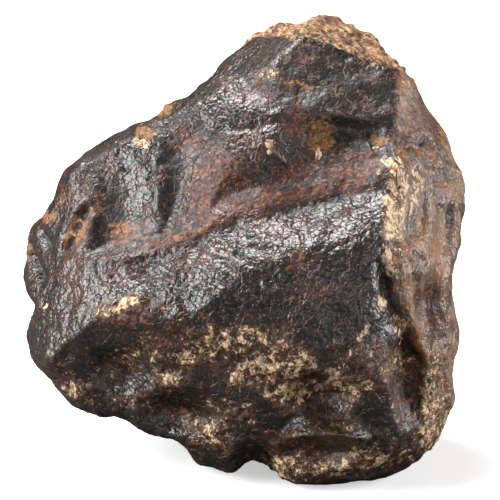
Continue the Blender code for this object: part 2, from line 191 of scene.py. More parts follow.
# Broad hollows of the back, and one under the stone: centre (u, v, w) and three radii
BACK_HOLLOWS = (
    ((-14, 20, -56), (17, 14, 19)),
    ((24, 24, -58), (13, 16, 20)),
    ((6, -14, -62), (18, 12, 24)),
    ((-40, -8, -44), (11, 13, 13)),
    ((14, -60, -12), (13, 7, 12)),
)
THUMBPRINT_SPACING = 21.0
THUMBPRINT_RELIEF = 3.2
# Slow wander of the whole shape and low lumps on it: their height and size in mm
WANDER, WANDER_SIZE = 0.8, 15.0
LUMPS, LUMPS_SIZE = 0.4, 9.0

# Cracks, lips and small holes of the front: the route (u, v), how far it stands proud in mm, half width
FINE_ROUTES = (
    (((-56.2, -1.6), (-54.9, -4.0), (-53.4, -6.8)), -1.2, 1.1),
    (((-52.8, 3.4), (-51.9, 1.8), (-51.2, 0.2)), -1.0, 1.0),
    (((-46.2, 0.2), (-45.2, 2.6)), -1.6, 0.9),
    (((-44.4, 4.8), (-43.6, 6.2)), -1.6, 0.9),
    (((-42.4, 8.2), (-41.6, 9.4)), -1.2, 0.8),
    (((-33.2, 24.0), (-32.2, 21.8), (-31.2, 19.8)), -0.5, 0.6),
    (((-25.2, 17.4), (-24.0, 14.4), (-24.4, 11.2), (-23.2, 8.0)), -0.4, 0.6),
    (((2.4, 29.0), (3.0, 26.6), (5.2, 24.0), (8.6, 21.6)), 0.45, 0.6),
    (((20.2, 34.2), (21.2, 33.4), (22.4, 33.8)), 0.5, 0.5),
    (((-13.5, 33.6), (-9.6, 30.6), (-4, 29.6), (1.5, 30.2)), -0.4, 0.6),
    (((29.4, 26.0), (30.2, 23.6)), 0.4, 0.5),
    (((-38.5, -2.5), (-37.8, -6.5)), -0.4, 0.6),
    (((-34.4, -6.4), (-33.4, -8.0)), -0.7, 0.6),
    (((44.2, 28.2), (43.2, 26.6)), -1.0, 0.7),
)
# Chips out of the crust: centre u, v, half width, half height, depth
CHIPS = (
    (-27.2, 27.0, 2.8, 1.4, 0.6),
    (-3.0, -1.3, 1.3, 1.1, 0.7),
    (28.2, -33.2, 1.6, 1.2, 0.5),
    (-19.4, -32.6, 1.0, 1.9, 0.4),
    (-45.2, -35.4, 1.0, 2.0, 0.5),
    (24.0, 48.4, 1.4, 1.2, 0.5),
    (-24.0, 37.0, 2.0, 1.5, 0.6),
    (38.6, -3.0, 1.8, 3.0, 0.3),
)

# The line (u, v) above which the stone is broken open at the top
BROKEN_EDGE = (
    (-6, 63), (-3, 59), (0, 55.8), (4, 54.8), (8, 54.0), (11, 52.6), (13, 53.9), (16.5, 52.9), (20, 51.6),
    (24, 49.8), (28, 48.6), (32, 46.6), (36, 46.0), (39, 44.6), (43, 42.0), (47, 46),
)
# The line (v, u) to the right of which the smoother side begins
SIDE_EDGE = (
    (-60, 56), (-50, 44), (-26, 42), (-18.4, 36.5), (-12.8, 34.5), (-1.3, 33.7), (2.6, 32.4), (11.5, 33.2),
    (16.6, 37), (25.5, 35.6), (34, 36.4), (45, 37.5), (50, 41),
)
# Patches of the front: centre u, v, half width, half height, turn in degrees, strength
PATCHES = {
    "rust": (
        (26, 20, 8, 4.5, 10, 1.0), (-10, 16, 5, 8, -25, 1.0), (11, 31.5, 3, 4.5, 0, 1.0), (5, 13, 14, 3.2, 8, 0.9),
        (-18, 3, 10, 1.8, 16, 0.9), (-31, 4, 8, 3, 8, 0.7), (22, 15, 11, 1.6, 10, 0.8), (-30, -16.5, 7, 3, 8, 0.8),
        (30, -29, 6, 4.5, -15, 0.9), (38.5, -35, 3.2, 9, 0, 1.0), (-38, 11, 3, 3, 0, 0.7), (12, 20, 7, 3.5, 10, 0.8),
        (-3, 19, 5, 3.5, 0, 0.8), (-16, 27, 5, 3.5, 20, 0.7), (-43, 5, 3.5, 6, -28, 1.0), (14, 47, 5, 5, 0, 0.5),
        (32, -24, 6, 2.5, -20, 0.7), (-20, -40, 8, 3.5, -20, 0.6), (12, -3, 5, 2, -20, 0.6), (-25, 33.5, 3, 2.5, 0, 0.6),
        (-20, -22, 10, 3.5, 0, 0.5), (8, -48, 8, 4, 0, 0.6), (40, 33, 4, 8, -20, 0.6), (33, 35, 6, 2, 0, 0.4),
    ),
    "ochre": (
        (17, 28.5, 4, 3.6, 0, 1.0), (32, 27.5, 2.4, 1.4, 0, 0.9), (-26.5, 29.0, 2.6, 2.4, 0, 1.1), (-51, 8.5, 2.4, 1.2, 30, 1.0),
        (-57.3, -0.6, 1.6, 1.6, 0, 1.0), (-44, 4.8, 2.2, 5.4, -28, 0.9), (-32, 5, 4.5, 2.2, 0, 0.7), (9, 50, 1.5, 1, 0, 0.6),
        (-22, 36.5, 2.4, 2.0, 40, 0.9), (35, -2, 1.2, 4, 10, 0.7), (-12, 18.5, 1.3, 1, 0, 0.9), (14, 13, 10, 1, 10, 0.4),
        (-10, 5.8, 11, 0.9, 22, 0.5), (-20, 1.8, 8, 0.7, 14, 0.45), (44, -24, 2.5, 3, 0, 0.6), (34, -30, 2, 3, 0, 0.6),
        (41.5, -30, 1.5, 4, 0, 0.7), (14, 41, 7, 1.2, -10, 0.5), (46, 0, 2, 5, 0, 0.7), (-48, 12.5, 3, 1.2, 40, 0.6),
    ),
    "mottle": (
        (-8, -23.5, 9, 4.5, 6, 1.0), (3, -28, 8, 5, 30, 1.1), (10, -27, 7, 5, 0, 1.0), (10, -36, 7, 4.5, -20, 1.0),
        (22, -33, 7, 5, -20, 0.95), (-20, -32, 5, 4, 0, 0.8), (-10, -46, 6, 5, 0, 0.95), (-31, -14, 8, 2.4, 12, 0.9),
        (-45, -35, 5, 3, -35, 0.8), (14, -54, 16, 4, 0, 0.95), (29, -51, 8, 5, 10, 0.8), (46, -40, 6, 14, 0, 1.0),
        (36, -28, 6, 4, 0, 0.8), (-4, -41, 8, 5, 0, 0.7), (-2, -20, 14, 2.5, 0, 0.8), (26, -25, 6, 3, -10, 0.7),
        (-26, -26, 9, 5, 10, 0.7), (-30, -38, 8, 3, -10, 0.65), (4, 43.5, 5, 1.6, 25, 0.7), (-6, 43, 2.5, 2, 0, 0.7),
        (24, -42, 4, 4, 0, 0.7), (-36, -30, 8, 4, 0, 0.55), (-16, -27, 5, 3, 0, 0.8), (38, -52, 7, 4, 20, 0.6),
    ),
    "pale": (
        (36.5, 18, 2.4, 4.6, 15, 1.0), (42.4, 17.5, 1.2, 3.2, 20, 0.9), (35.2, 6.5, 2.2, 4.2, 0, 1.0), (33.4, -2.6, 1.2, 3, 5, 1.0),
        (32, -13, 1.2, 1.6, 0, 0.8), (36.4, -18, 2.2, 0.9, -50, 0.9), (28.2, -33.2, 1.5, 1.1, 0, 1.4), (-19.4, -32.6, 0.9, 1.8, 20, 1.2),
        (-45.2, -35.4, 0.9, 1.9, -15, 1.2), (-2.8, -31.6, 1.6, 1.2, 30, 1.1), (-27.6, 27.0, 2.0, 0.9, -10, 1.4), (40.4, 12, 1.2, 4, -10, 0.8),
        (20.6, -31.6, 1.4, 2.6, 10, 1.0), (2.4, -27.8, 1.3, 2.4, 30, 0.9), (-14.6, -26.6, 1.4, 1.4, 0, 0.8), (17, 24, 0.8, 1.6, 0, 0.8),
        (36, -20, 3.0, 1.1, -50, 0.8), (5, 25.6, 1.4, 2.2, 30, 0.9), (-30, -13.0, 3, 0.8, 0, 0.9), (34.5, 11.5, 2, 1.4, 0, 0.9),
        (-52, -14, 1.2, 1, 0, 0.7), (-30, -46, 1.4, 1.2, 0, 0.8), (-1, -22.2, 6, 1.2, -10, 0.8), (27, -20.4, 1.2, 2.2, 0, 0.6),
    ),
    # Pink patches: a pinkish tint of the crust; the two on the ledge are a painted highlight
    "pink_and_painted_highlight": (
        (-44, -7, 4, 7, 0, 0.9), (-32, -6, 4.5, 2.6, 0, 1.0), (-8, 11, 4.5, 5, 20, 1.0), (0, 38, 6, 2.6, 0, 0.9),
        (0, 27, 5, 3, -20, 0.9), (8, 5, 8, 3.6, 0, 0.8), (15, -10, 6, 3, 0, 0.8), (44, 33, 3.4, 7, 15, 0.9),
        (-36, 22, 3, 4, 30, 0.6), (20, 4, 6, 3, 0, 0.6), (46, -18, 4, 7, 0, 0.8), (45, 8, 4, 9, 0, 0.6),
        (32, -30, 4, 3, 0, 0.7), (22, -52, 6, 3, 0, 0.7), (25, -44, 3, 3, 0, 0.6), (12, -18, 7, 2.5, 0, 0.6),
        (-14, -3, 7, 3.5, 10, 0.7), (-44, 13, 4, 4, 0, 0.6), (-7, -29, 4, 4, 0, 0.6),
    ),
    "dull": (
        (20, 41, 18, 8, -12, 1.3), (26, 26, 11, 7, 0, 1.2), (22, 19, 14, 4, 8, 1.1), (-37, 8, 5, 10, -10, 1.1),
        (-29, 4, 10, 4, 10, 1.2), (-20, 18, 4, 9, -10, 1.1), (-14, 24, 8, 5, 20, 1.0), (12, 29, 5, 6, 0, 1.1),
        (6, 15, 14, 3.4, 12, 0.9), (-14, 8, 8, 4, 25, 0.8), (8, 50, 8, 5, 0, 0.9), (-15, 33, 6, 4, 0, 0.8),
        (-38, 24, 6, 3, 40, 0.8), (-27, 30, 8, 2.5, 20, 0.9), (-38, -34, 8, 6, -20, 0.5), (3, -41, 6, 5, 0, 0.6),
    ),
    # Black patches: partly the crust's own black, partly painted shade in the dents, under the brow and the flap, and
    # on faces below the keel
    "black_and_painted_shade": (
        (28, 29.5, 8, 4, -4, 1.1), (-38, -33, 9, 6, -20, 1.0), (4, -42, 6, 5, 0, 1.1), (-16, -38.5, 8, 3, -10, 0.9),
        (37, -48, 5, 6, 0, 0.9), (-36.5, 9, 3.2, 8, -8, 1.0), (-20.5, 19, 3, 7, -10, 0.9), (30, -12, 4, 11, 0, 0.9),
        (22, 11.5, 11, 1.6, 10, 0.8), (-35, -26, 12, 4.5, 0, 0.8), (-8, -13, 20, 3, 2, 0.8), (20, -19, 12, 3.5, -10, 0.9),
        (-10, 30, 6, 1.0, -12, 0.9), (37, -32, 2, 9, 10, 0.9), (26, -31, 2.4, 5, 20, 0.8), (30, -41, 3, 4, 0, 0.8),
        (-31, -3, 9, 1.2, 8, 0.8), (15, 36, 12, 1.4, -4, 0.7), (-22, -28, 5, 3, 0, 0.8), (2, 40, 8, 0.8, 20, 0.5),
    ),
}


STRIDES = (374761393, 668265263, 1274126177)


def scramble(mixed, seed):
    """Turns whole numbers into fixed pseudo-random values from 0 to 1."""
    mixed = mixed + seed * 2654435761
    mixed = (mixed ^ (mixed >> 13)) * 1103515245
    mixed = (mixed ^ (mixed >> 16)) & 0x7FFFFFFF
    return mixed / float(0x7FFFFFFF)


def lattice_corners(q):
    """The eight lattice points round each point: their mixed index, blend weight and way to the point."""
    cell = np.floor(q).astype(np.int64)
    f = q - cell
    blend = f * f * f * (f * (f * 6 - 15) + 10)
    index = [(cell[..., k] * STRIDES[k], (cell[..., k] + 1) * STRIDES[k]) for k in range(3)]
    weight = [(1 - blend[..., k], blend[..., k]) for k in range(3)]
    for x, y, z in np.ndindex(2, 2, 2):
        mixed = index[0][x] + index[1][y] + index[2][z]
        yield mixed, weight[0][x] * weight[1][y] * weight[2][z], f - (x, y, z)


def noise(p, size, seed):
    """Smooth noise from -1 to 1 whose bumps are about size across: lattice values, smoothly blended."""
    total = 0.0
    for mixed, weight, _ in lattice_corners(p / size):
        total = total + weight * scramble(mixed, seed)
    return total * 2 - 1


# Turns the lattice of the fine noise, so that its rows don't run along the stone
ASKEW = np.array([[0.36, 0.48, -0.8], [-0.8, 0.6, 0.0], [0.48, 0.64, 0.6]])
SLOPES = np.array(
    [(1, 1, 0), (-1, 1, 0), (1, -1, 0), (-1, -1, 0), (1, 0, 1), (-1, 0, 1), (1, 0, -1), (-1, 0, -1),
     (0, 1, 1), (0, -1, 1), (0, 1, -1), (0, -1, -1)], float,
)


def grain(p, size, seed):
    """Fine noise, about -1 to 1: a slope at each point of an askew lattice, smoothly blended."""
    total = 0.0
    for mixed, weight, way in lattice_corners(p @ ASKEW / size):
        slope = SLOPES[(scramble(mixed, seed) * 11.999).astype(int)]
        total = total + weight * np.sum(slope * way, axis=-1)
    return total * 1.4


def fractal(p, size, octaves, seed):
    """Noise summed over octaves, each half as wide and half as high as the one before."""
    return sum(noise(p + 17.3 * k, size / 2**k, seed + k) / 2**k for k in range(octaves))


def nearest_seed(p, spacing, seed):
    """Distance to the nearest of the points scattered one to each cell of a cubic grid."""
    q = p / spacing
    cell = np.floor(q).astype(np.int64)
    nearest = np.full(p.shape[:-1], 9.0)
    for shift in np.ndindex(3, 3, 3):
        corner = cell + np.array(shift) - 1
        mixed = corner @ np.array(STRIDES)
        jitter = [scramble(mixed, seed + k) for k in range(3)]
        scattered = corner + 0.15 + 0.7 * np.stack(jitter, axis=-1)
        nearest = np.minimum(nearest, np.linalg.norm(q - scattered, axis=-1))
    return nearest * spacing


def smooth_max(a, b, width):
    """The larger of a and b, with the corner where they cross rounded over width."""
    h = np.clip(0.5 + 0.5 * (a - b) / width, 0, 1)
    return b + (a - b) * h + width * h * (1 - h)


def smooth_min(a, b, width):
    """The smaller of a and b, with the corner where they cross rounded over width."""
    return -smooth_max(-a, -b, width)


def ease(x, low, high):
    """0 below low, 1 above high and an S curve between them."""
    t = np.clip((x - low) / (high - low), 0, 1)
    return t * t * (3 - 2 * t)


def along(x, points, blur=0.0):
    """Height at x of the line through points, lightly averaged over blur to round its corners."""
    xs, ys = np.array(points, float).T
    middle = np.interp(x, xs, ys)
    return (np.interp(x - blur, xs, ys) + 2 * middle + np.interp(x + blur, xs, ys)) / 4


def outline_reach(angle, blur):
    """Distance from the heart to the outline at each angle, averaged over blur half-degrees."""
    corners = np.array(OUTLINE, float) - HEART[:2]
    turn = np.arctan2(corners[:, 1], corners[:, 0])
    order = np.argsort(turn)
    turn, far = turn[order], np.hypot(*corners.T)[order]
    turns = np.r_[turn - 2 * np.pi, turn, turn + 2 * np.pi]
    ring = np.interp(np.linspace(-np.pi, np.pi, 721), turns, np.r_[far, far, far])[:-1]
    offsets = np.arange(-60, 61)
    weights = np.exp(-0.5 * (offsets / blur) ** 2)
    ring = np.convolve(np.r_[ring[-60:], ring, ring[:60]], weights / weights.sum(), mode="valid")
    return np.interp(angle, np.linspace(-np.pi, np.pi, 721), np.r_[ring, ring[0]])


def face_depth(p, name):
    """w of a named flat face at each point's u and v."""
    u0, v0, w0, right, up = FACES[name]
    fall_right, fall_up = np.tan(np.radians((right, up)))
    return w0 - fall_right * (p[..., 0] - u0) - fall_up * (p[..., 1] - v0)


def hollow_depth(p, u0, v0, floor, rise, left, right, down, up):
    """w of a bowl that rises by rise from its floor over its reach to each side."""
    du, dv = p[..., 0] - u0, p[..., 1] - v0
    x = du / np.where(du < 0, left, right)
    y = dv / np.where(dv < 0, down, up)
    return floor + rise * (x * x + y * y)


def route_gap(p, route):
    """Distance in the front view from each point to the broken line through route."""
    gaps = []
    for start, end in zip(np.array(route[:-1], float), np.array(route[1:], float)):
        run = end - start
        share = np.clip((p[..., :2] - start) @ run / (run @ run), 0, 1)
        gaps.append(np.linalg.norm(p[..., :2] - start - share[..., None] * run, axis=-1))
    return np.min(gaps, axis=0)


def thumbprint_depth(p):
    """w of the dents of the upper half, of the groove below them and of the slope up to the belly."""
    u, v = p[..., 0], p[..., 1]
    above = v - along(u, GROOVE, GROOVE_BLUR)
    groove = along(u, GROOVE_DEPTH, GROOVE_BLUR)
    lip = groove - SLOPE["lip"] * above
    rise = SLOPE["ramp"] - 0.12 * ease(u, 0, 16) + 1.2 * ease(-u, 16, 27)
    ramp = groove - rise * above
    fall = SLOPE["belly top"] - 0.57 * ease(-u, -4, 26) - 0.2 * ease(u, 20, 34)
    belly_top = lip - fall * (LIP_WIDTH + above) - SLOPE["above the lip"] * np.maximum(above, 0)
    near_groove = np.exp(-((above / GROOVE_REACH) ** 2))
    shoulder = face_depth(p, "shoulder") - 1.0
    floor = smooth_min(along(u, THUMBPRINTS, 0.7), shoulder, BEND["thumbprints"]) - GROOVE_CUT * near_groove
    for planes in DENTS:
        dent = np.full_like(u, -99.0)
        for u0, v0, w0, right, up in planes:
            dent = smooth_max(dent, w0 + right * (u - u0) + up * (v - v0), BEND["inside dents"])
        floor = smooth_min(floor, dent, BEND["rims of dents"])
    depth = smooth_max(floor, smooth_min(ramp, lip, BEND["lip"]), BEND["ramp"])
    depth = smooth_max(depth, belly_top, BEND["belly top"])
    brow_line = BROW["v"] - 0.02 * (u - 20)
    brow = BROW["w"] + (SLOPE["brow"] + 0.7 * ease(u, 16, 24)) * (v - brow_line)
    under_brow = smooth_max(depth, brow - 30 * ease(-u, -9, -4), BEND["brow"])
    return np.where(u > BROW["left end"], under_brow, depth)


def front_depth(p):
    """w of the front at each point's u and v: flat faces, then dents, steps, hollows and flutes."""
    u, v = p[..., 0], p[..., 1]
    face = {name: face_depth(p, name) for name in FACES}
    w = smooth_min(face["belly"], face["shoulder"], BEND["shoulder"])
    w = smooth_min(w, face["plate"], BEND["plate"])
    terrace = smooth_max(face["flank"], face["terrace"], BEND["inside terrace"])
    w = smooth_min(w, terrace, BEND["terrace"])
    w = smooth_min(w, face["brim"], BEND["brim"])
    left = smooth_min(face["low left"], face["left"], BEND["left"])
    w = smooth_min(w, left, BEND["low left"])
    under = smooth_min(face["under left"], face["under middle"], BEND["under left"])
    under = smooth_min(under, face["under right"], BEND["under right"])
    ledge_u = (u - LEDGE["u"]) / LEDGE["half length"]
    upper = LEDGE["w"] - LEDGE["fall up"] * (v - LEDGE["v"])
    lower = LEDGE["w"] + LEDGE["fall down"] * (v - LEDGE["v"])
    ledge = smooth_min(upper, lower, BEND["ledge"]) - LEDGE["fall at ends"] * ledge_u**4
    under = smooth_max(under, ledge, BEND["ledge"])
    w = smooth_min(w, under, BEND["keel left"] + BEND["keel"] * ease(u, -34, -12))
    wave = np.cos((v - SIDE_WAVE["v"]) * np.pi / SIDE_WAVE["half length"]) * ease(v, -22, -4)
    side_fall = math.tan(math.radians(FACES["right side"][3]))
    w = smooth_min(w, face["right side"] + side_fall * SIDE_WAVE["depth"] * wave, BEND["right side"])
    below = along(u, GROOVE, GROOVE_BLUR) - v
    w = smooth_min(w, thumbprint_depth(p), BEND["thumbprints"] + BEND["belly"] * ease(below, -2, 3))
    under_terrace = UNDER_TERRACE["w"] + SLOPE["under terrace"] * (v - UNDER_TERRACE["v"])
    step = smooth_max(face["second step"], under_terrace, BEND["hollows"])
    w = smooth_min(w, step, BEND["brim"])
    for hollow in HOLLOWS:
        w = smooth_min(w, hollow_depth(p, *hollow), BEND["hollows"])
    w = smooth_min(w, face["broken cap"], BEND["broken cap"])
    for route, height, half_width in FLUTE_ROUTES:
        w = w + height * np.exp(-((route_gap(p, route) / half_width) ** 2))
    return w


def pillow(p):
    """Below zero inside a pillow whose rim is the outline and whose back and front are rounded."""
    out = p - HEART
    angle = np.arctan2(out[..., 1], out[..., 0])
    broad = outline_reach(angle, 24)
    rim = -7.5 - (2 * out[..., 0] + 4 * out[..., 1]) / broad
    above = p[..., 2] - rim
    height = above / np.where(above > 0, FRONT_THICKNESS, BACK_THICKNESS)
    near_rim = np.exp(-((height / 0.36) ** 2))
    reach = broad + (outline_reach(angle, 1.2) - broad) * near_rim
    reach = reach * (VIEWING_DISTANCE - rim) / VIEWING_DISTANCE
    flat = np.hypot(out[..., 0], out[..., 1]) / reach
    return ((flat**ROUNDNESS + np.abs(height) ** ROUNDNESS) ** (1 / ROUNDNESS) - 1) * BACK_THICKNESS


def back_hollow(p, centre, radii):
    """Below zero inside an egg-shaped hollow."""
    q = (p - np.array(centre, float)) / np.array(radii, float)
    return (np.linalg.norm(q, axis=-1) - 1) * min(radii)


def stone(p):
    """Below zero inside the stone and above zero outside it."""
    wander = np.stack([noise(p, WANDER_SIZE, seed) for seed in (3, 4, 5)], axis=-1)
    q = p + WANDER * wander
    body = smooth_max((q[..., 2] - front_depth(q)) * 0.72, pillow(p), BEND["outline"])
    for point, facing in BACK_FACES:
        facing = np.array(facing) / np.linalg.norm(facing)
        body = smooth_max(body, (q - np.array(point, float)) @ facing, BEND["back"])
    for centre, radii in BACK_HOLLOWS:
        body = smooth_max(body, -back_hollow(q, centre, radii), BEND["back hollows"])
    hidden = p[..., 2] < -10.0
    dent = 1 - (nearest_seed(q[hidden], THUMBPRINT_SPACING, 7) / (0.62 * THUMBPRINT_SPACING)) ** 2
    body[hidden] += ease(-p[hidden, 2], 10.0, 20.0) * THUMBPRINT_RELIEF * np.maximum(dent, 0)
    body = body + LUMPS * fractal(p, LUMPS_SIZE, 3, 11)
    level = p[..., 1] * math.cos(LEAN) + p[..., 2] * math.sin(LEAN)
    return np.maximum(body, FOOT_LEVEL - level)


def surface_points(ball):
    """Moves points of a unit sphere to the stone: a coarse march in along each ray, then halving."""
    reach = outline_reach(np.arctan2(ball[:, 1], ball[:, 0]), 24)[:, None]
    disc = HEART + ball * DISC_SHARE * reach * (1, 1, 0)
    dome = HEART + ball * np.hstack([DOME_SHARE * reach, DOME_SHARE * reach, 0 * reach + DOME_HEIGHT])
    steps = np.linspace(1.0, 0.0, 41)
    inner, outer = np.zeros(len(ball)), np.ones(len(ball))
    waiting = np.arange(len(ball))
    for far, near in zip(steps[:-1], steps[1:]):
        tried = disc[waiting] + (dome - disc)[waiting] * near
        inside = stone(tried) < 0
        inner[waiting[inside]], outer[waiting[inside]] = near, far
        waiting = waiting[~inside]
    for _ in range(15):
        middle = (inner + outer) / 2
        inside = stone(disc + (dome - disc) * middle[:, None]) < 0
        inner, outer = np.where(inside, middle, inner), np.where(inside, outer, middle)
    return disc + (dome - disc) * ((inner + outer) / 2)[:, None]


def gridded_ball(count, crowding):
    """Unit directions over six joined square grids, and the quads between them.

    Each side of a cube is a grid of two angles from -45 to 45 degrees, whose tangents give a point on the
    side. Points on shared edges are merged. Adding crowding to w before the length is made 1 draws the
    grid together at the front and spreads it at the back.
    """
    line = np.tan(np.linspace(-1, 1, count + 1) * np.pi / 4)
    a, b = np.meshgrid(line, line, indexing="ij")
    one = np.ones_like(a)
    sides = [(one, a, b), (-one, b, a), (b, one, a), (a, -one, b), (a, b, one), (b, a, -one)]
    points = np.concatenate([np.stack(side, axis=-1).reshape(-1, 3) for side in sides])
    points /= np.linalg.norm(points, axis=1)[:, None]
    row, column = np.meshgrid(np.arange(count), np.arange(count), indexing="ij")
    first = (row * (count + 1) + column).ravel()
    quad = np.stack([first, first + count + 1, first + count + 2, first + 1], axis=1)
    quads = np.concatenate([quad + k * (count + 1) ** 2 for k in range(len(sides))])
    _, kept, merged = np.unique(np.round(points, 6), axis=0, return_index=True, return_inverse=True)
    ball = points[kept] + (0, 0, crowding)
    return ball / np.linalg.norm(ball, axis=1)[:, None], merged.reshape(-1)[quads]


def corner_sums(values, corners, targets, count):
    """Adds values (one row per quad) onto each target vertex of the quads' corners."""
    total = np.zeros((count, values.shape[1]))
    for source, target in zip(corners, targets):
        for k in range(values.shape[1]):
            column = values[:, k] if source is None else values[source, k]
            total[:, k] += np.bincount(target, column, count)
    return total


def outward(points, quads):
    """Unit normal at each vertex: the sum of the cross products of the diagonals of the quads around it."""
    a, b, c, d = (points[quads[:, k]] for k in range(4))
    across = np.cross(c - a, d - b)
    total = corner_sums(across, [None] * 4, quads.T, len(points))
    return total / np.linalg.norm(total, axis=1)[:, None]


def neighbour_mean(values, quads):
    """The mean of each vertex's neighbours along the grid lines."""
    here = np.concatenate([quads[:, k] for k in range(4)] + [quads[:, k - 3] for k in range(4)])
    there = np.concatenate([quads[:, k - 3] for k in range(4)] + [quads[:, k] for k in range(4)])
    count = np.bincount(here, minlength=len(values))[:, None]
    total = np.stack([np.bincount(here, column[there], len(values)) for column in values.T], axis=1)
    return total / count


def hollowness(points, normals, quads, rounds):
    """How far, in mm, each vertex lies below the surface smoothed over rounds of neighbours."""
    smooth = points
    for _ in range(rounds):
        smooth = neighbour_mean(smooth, quads)
    return np.sum((smooth - points) * normals, axis=1)


def patch_field(p, patches):
    """The strongest of many soft ellipses at each point: half its strength at its edge, fading outwards."""
    field = np.zeros(len(p))
    for u0, v0, half_width, half_height, turn, strength in patches:
        du, dv = p[:, 0] - u0, p[:, 1] - v0
        c, s = math.cos(math.radians(turn)), math.sin(math.radians(turn))
        x, y = (du * c + dv * s) / half_width, (dv * c - du * s) / half_height
        field = np.maximum(field, strength * 2.0 ** (-(x * x + y * y)))
    return field


def zones(p):
    """Where each finish lies, 0 to 1 with its edge at a half: placed patches in front, noise behind."""
    wander = np.stack([noise(p, 3.2, seed) for seed in (61, 62, 63)], axis=-1)
    q = p + 0.7 * wander
    front = ease(p[:, 2], -20, -9)
    broad = {name: 0.42 + 0.42 * noise(p, size, seed) for name, size, seed in (
        ("rust", 15.0, 71), ("ochre", 9.0, 72), ("mottle", 17.0, 73), ("pale", 8.0, 74),
        ("pink_and_painted_highlight", 13.0, 75), ("black_and_painted_shade", 12.0, 76), ("dull", 16.0, 78))}
    lower = {"ochre": 0.12, "pale": 0.18, "mottle": 0.12}
    found = {}
    for name, patches in PATCHES.items():
        hidden = broad[name] - lower.get(name, 0.0)
        found[name] = front * patch_field(q, patches) + (1 - front) * hidden
    u, v, w = q.T
    above = v - along(u, BROKEN_EDGE)
    behind = v - 50.0 + 0.30 * (w + 10)
    found["broken"] = np.clip(0.5 + 0.5 * np.where(w > -8, above, np.maximum(behind, above - 4)), 0, 1)
    beside = u - along(v, SIDE_EDGE)
    hidden = 0.5 + 0.5 * noise(p, 14.0, 77)
    found["side"] = np.clip(0.5 + 0.25 * beside, 0, 1) * (front + (1 - front) * hidden)
    # An ochre band round the outline seen from the front: painted orange rim light, added to the ochre mask
    rim = np.exp(-(((w + 10) / 3.5) ** 2))
    found["ochre"] = np.maximum(found["ochre"], (0.46 + 0.16 * noise(p, 5.0, 79)) * rim)
    return found, front


def streaks(p, found, front):
    """Flow lines, -1 to 1: noise drawn out along the groove, down the right side and up the left facet."""
    u, v, w = p.T
    above = v - along(u, GROOVE, 2.0)
    groove = noise(np.stack([u / 7, above / 1.1, w / 9], axis=1), 1.0, 81)
    beside = u - along(v, SIDE_EDGE, 3.0)
    side = noise(np.stack([beside / 2.2, v / 14, w / 8], axis=1), 1.0, 82)
    rising = noise(np.stack([(0.77 * u + 0.64 * v) / 9, (0.77 * v - 0.64 * u) / 1.3, w / 9], axis=1), 1.0, 83)
    found["groove"] = np.exp(-((above / 4.5) ** 2)) * ease(u, -45, -36) * front
    found["left"] = ease(-u - 0.6 * v, 26, 32) * ease(v, 8, 13) * front
    weights = np.stack([found["groove"], found["side"] * front, found["left"]])
    lines = np.stack([groove, side, rising])
    return np.sum(weights * lines, axis=0) / np.maximum(np.sum(weights, axis=0), 1.0)


def relief(p, found, lines, sizes):
    """How far, in mm, the crust stands above the plain shape: lumps, wrinkles, pits, cracks and chips."""
    broken = ease(found["broken"], 0.35, 0.65)
    side = ease(found["side"], 0.4, 0.7)
    rough = ease(found["mottle"], 0.3, 0.7)
    low = ease(-(p[:, 1] - along(p[:, 0], GROOVE, 2.0)), -2, 4)
    lumps = 0.28 * grain(p, 8.0, 21) + (0.13 + 0.15 * low) * grain(p, 3.6, 22)
    folds = 0.8 * np.abs(grain(p, 2.8, 31)) + 0.5 * np.abs(grain(p + 40.0, 1.5, 32)) - 0.4
    smoother = 1 - 0.60 * ease(found["dull"], 0.3, 0.9)
    height = lumps * smoother * (1 + 0.6 * rough)
    wrinkled = smoother * (1 - 0.7 * side) * (1 - broken)
    height += sizes.wrinkle_height / MM * folds * (0.7 + 0.3 * low) * wrinkled
    height += (0.14 + 0.20 * side) * lines
    height += 0.34 * grain(p, 3.4, 45) * ease(found["rust"], 0.3, 0.8) * (1 - side)
    grainy = grain(p, 1.9, 41) + grain(p, 1.1, 42)
    height += 0.32 * grainy * np.maximum(0.6 * broken, rough)
    height += (1.0 * grain(p, 5.0, 43) + 0.75 * grain(p, 2.4, 44)) * broken
    height += 0.30 * grainy * ease(found["ochre"], 0.4, 0.9)
    pit = 1 - (nearest_seed(p, 2.9, 51) / 0.95) ** 2
    height -= sizes.pit_depth / MM * np.maximum(pit, 0) * np.clip(broken + 0.8 * rough + 0.4 * side, 0.15, 1)
    height -= sizes.crust_thickness / MM * broken
    # The cut routes' mask is kept so that the material paints shade in them
    painted_hole_shade = np.zeros(len(p))
    for route, proud, half_width in FINE_ROUTES:
        share = np.exp(-((route_gap(p, route) / half_width) ** 2)) * (p[:, 2] > -6)
        height += proud * share
        painted_hole_shade = np.maximum(painted_hole_shade, np.clip(-proud, 0, 1) * share)
    found["painted_hole_shade"] = painted_hole_shade
    for u0, v0, half_width, half_height, depth in CHIPS:
        x, y = (p[:, 0] - u0) / half_width, (p[:, 1] - v0) / half_height
        height -= depth * ease(1 - np.hypot(x, y), 0, 0.35) * (p[:, 2] > -6)
    return height


def stand_upright(p):
    """Turn points of the leaning front view to the standing part, its foot at z = 0, in mm."""
    u, v, w = p.T
    y = v * math.sin(LEAN) - w * math.cos(LEAN)
    z = v * math.cos(LEAN) + w * math.sin(LEAN) - FOOT_LEVEL
    return np.stack([u, y, z], axis=-1)


def add_values(mesh, name, values):
    """Store one number per vertex under a name that the material reads."""
    layer = mesh.attributes.new(name, "FLOAT", "POINT")
    layer.data.foreach_set("value", np.ascontiguousarray(values, np.float32))


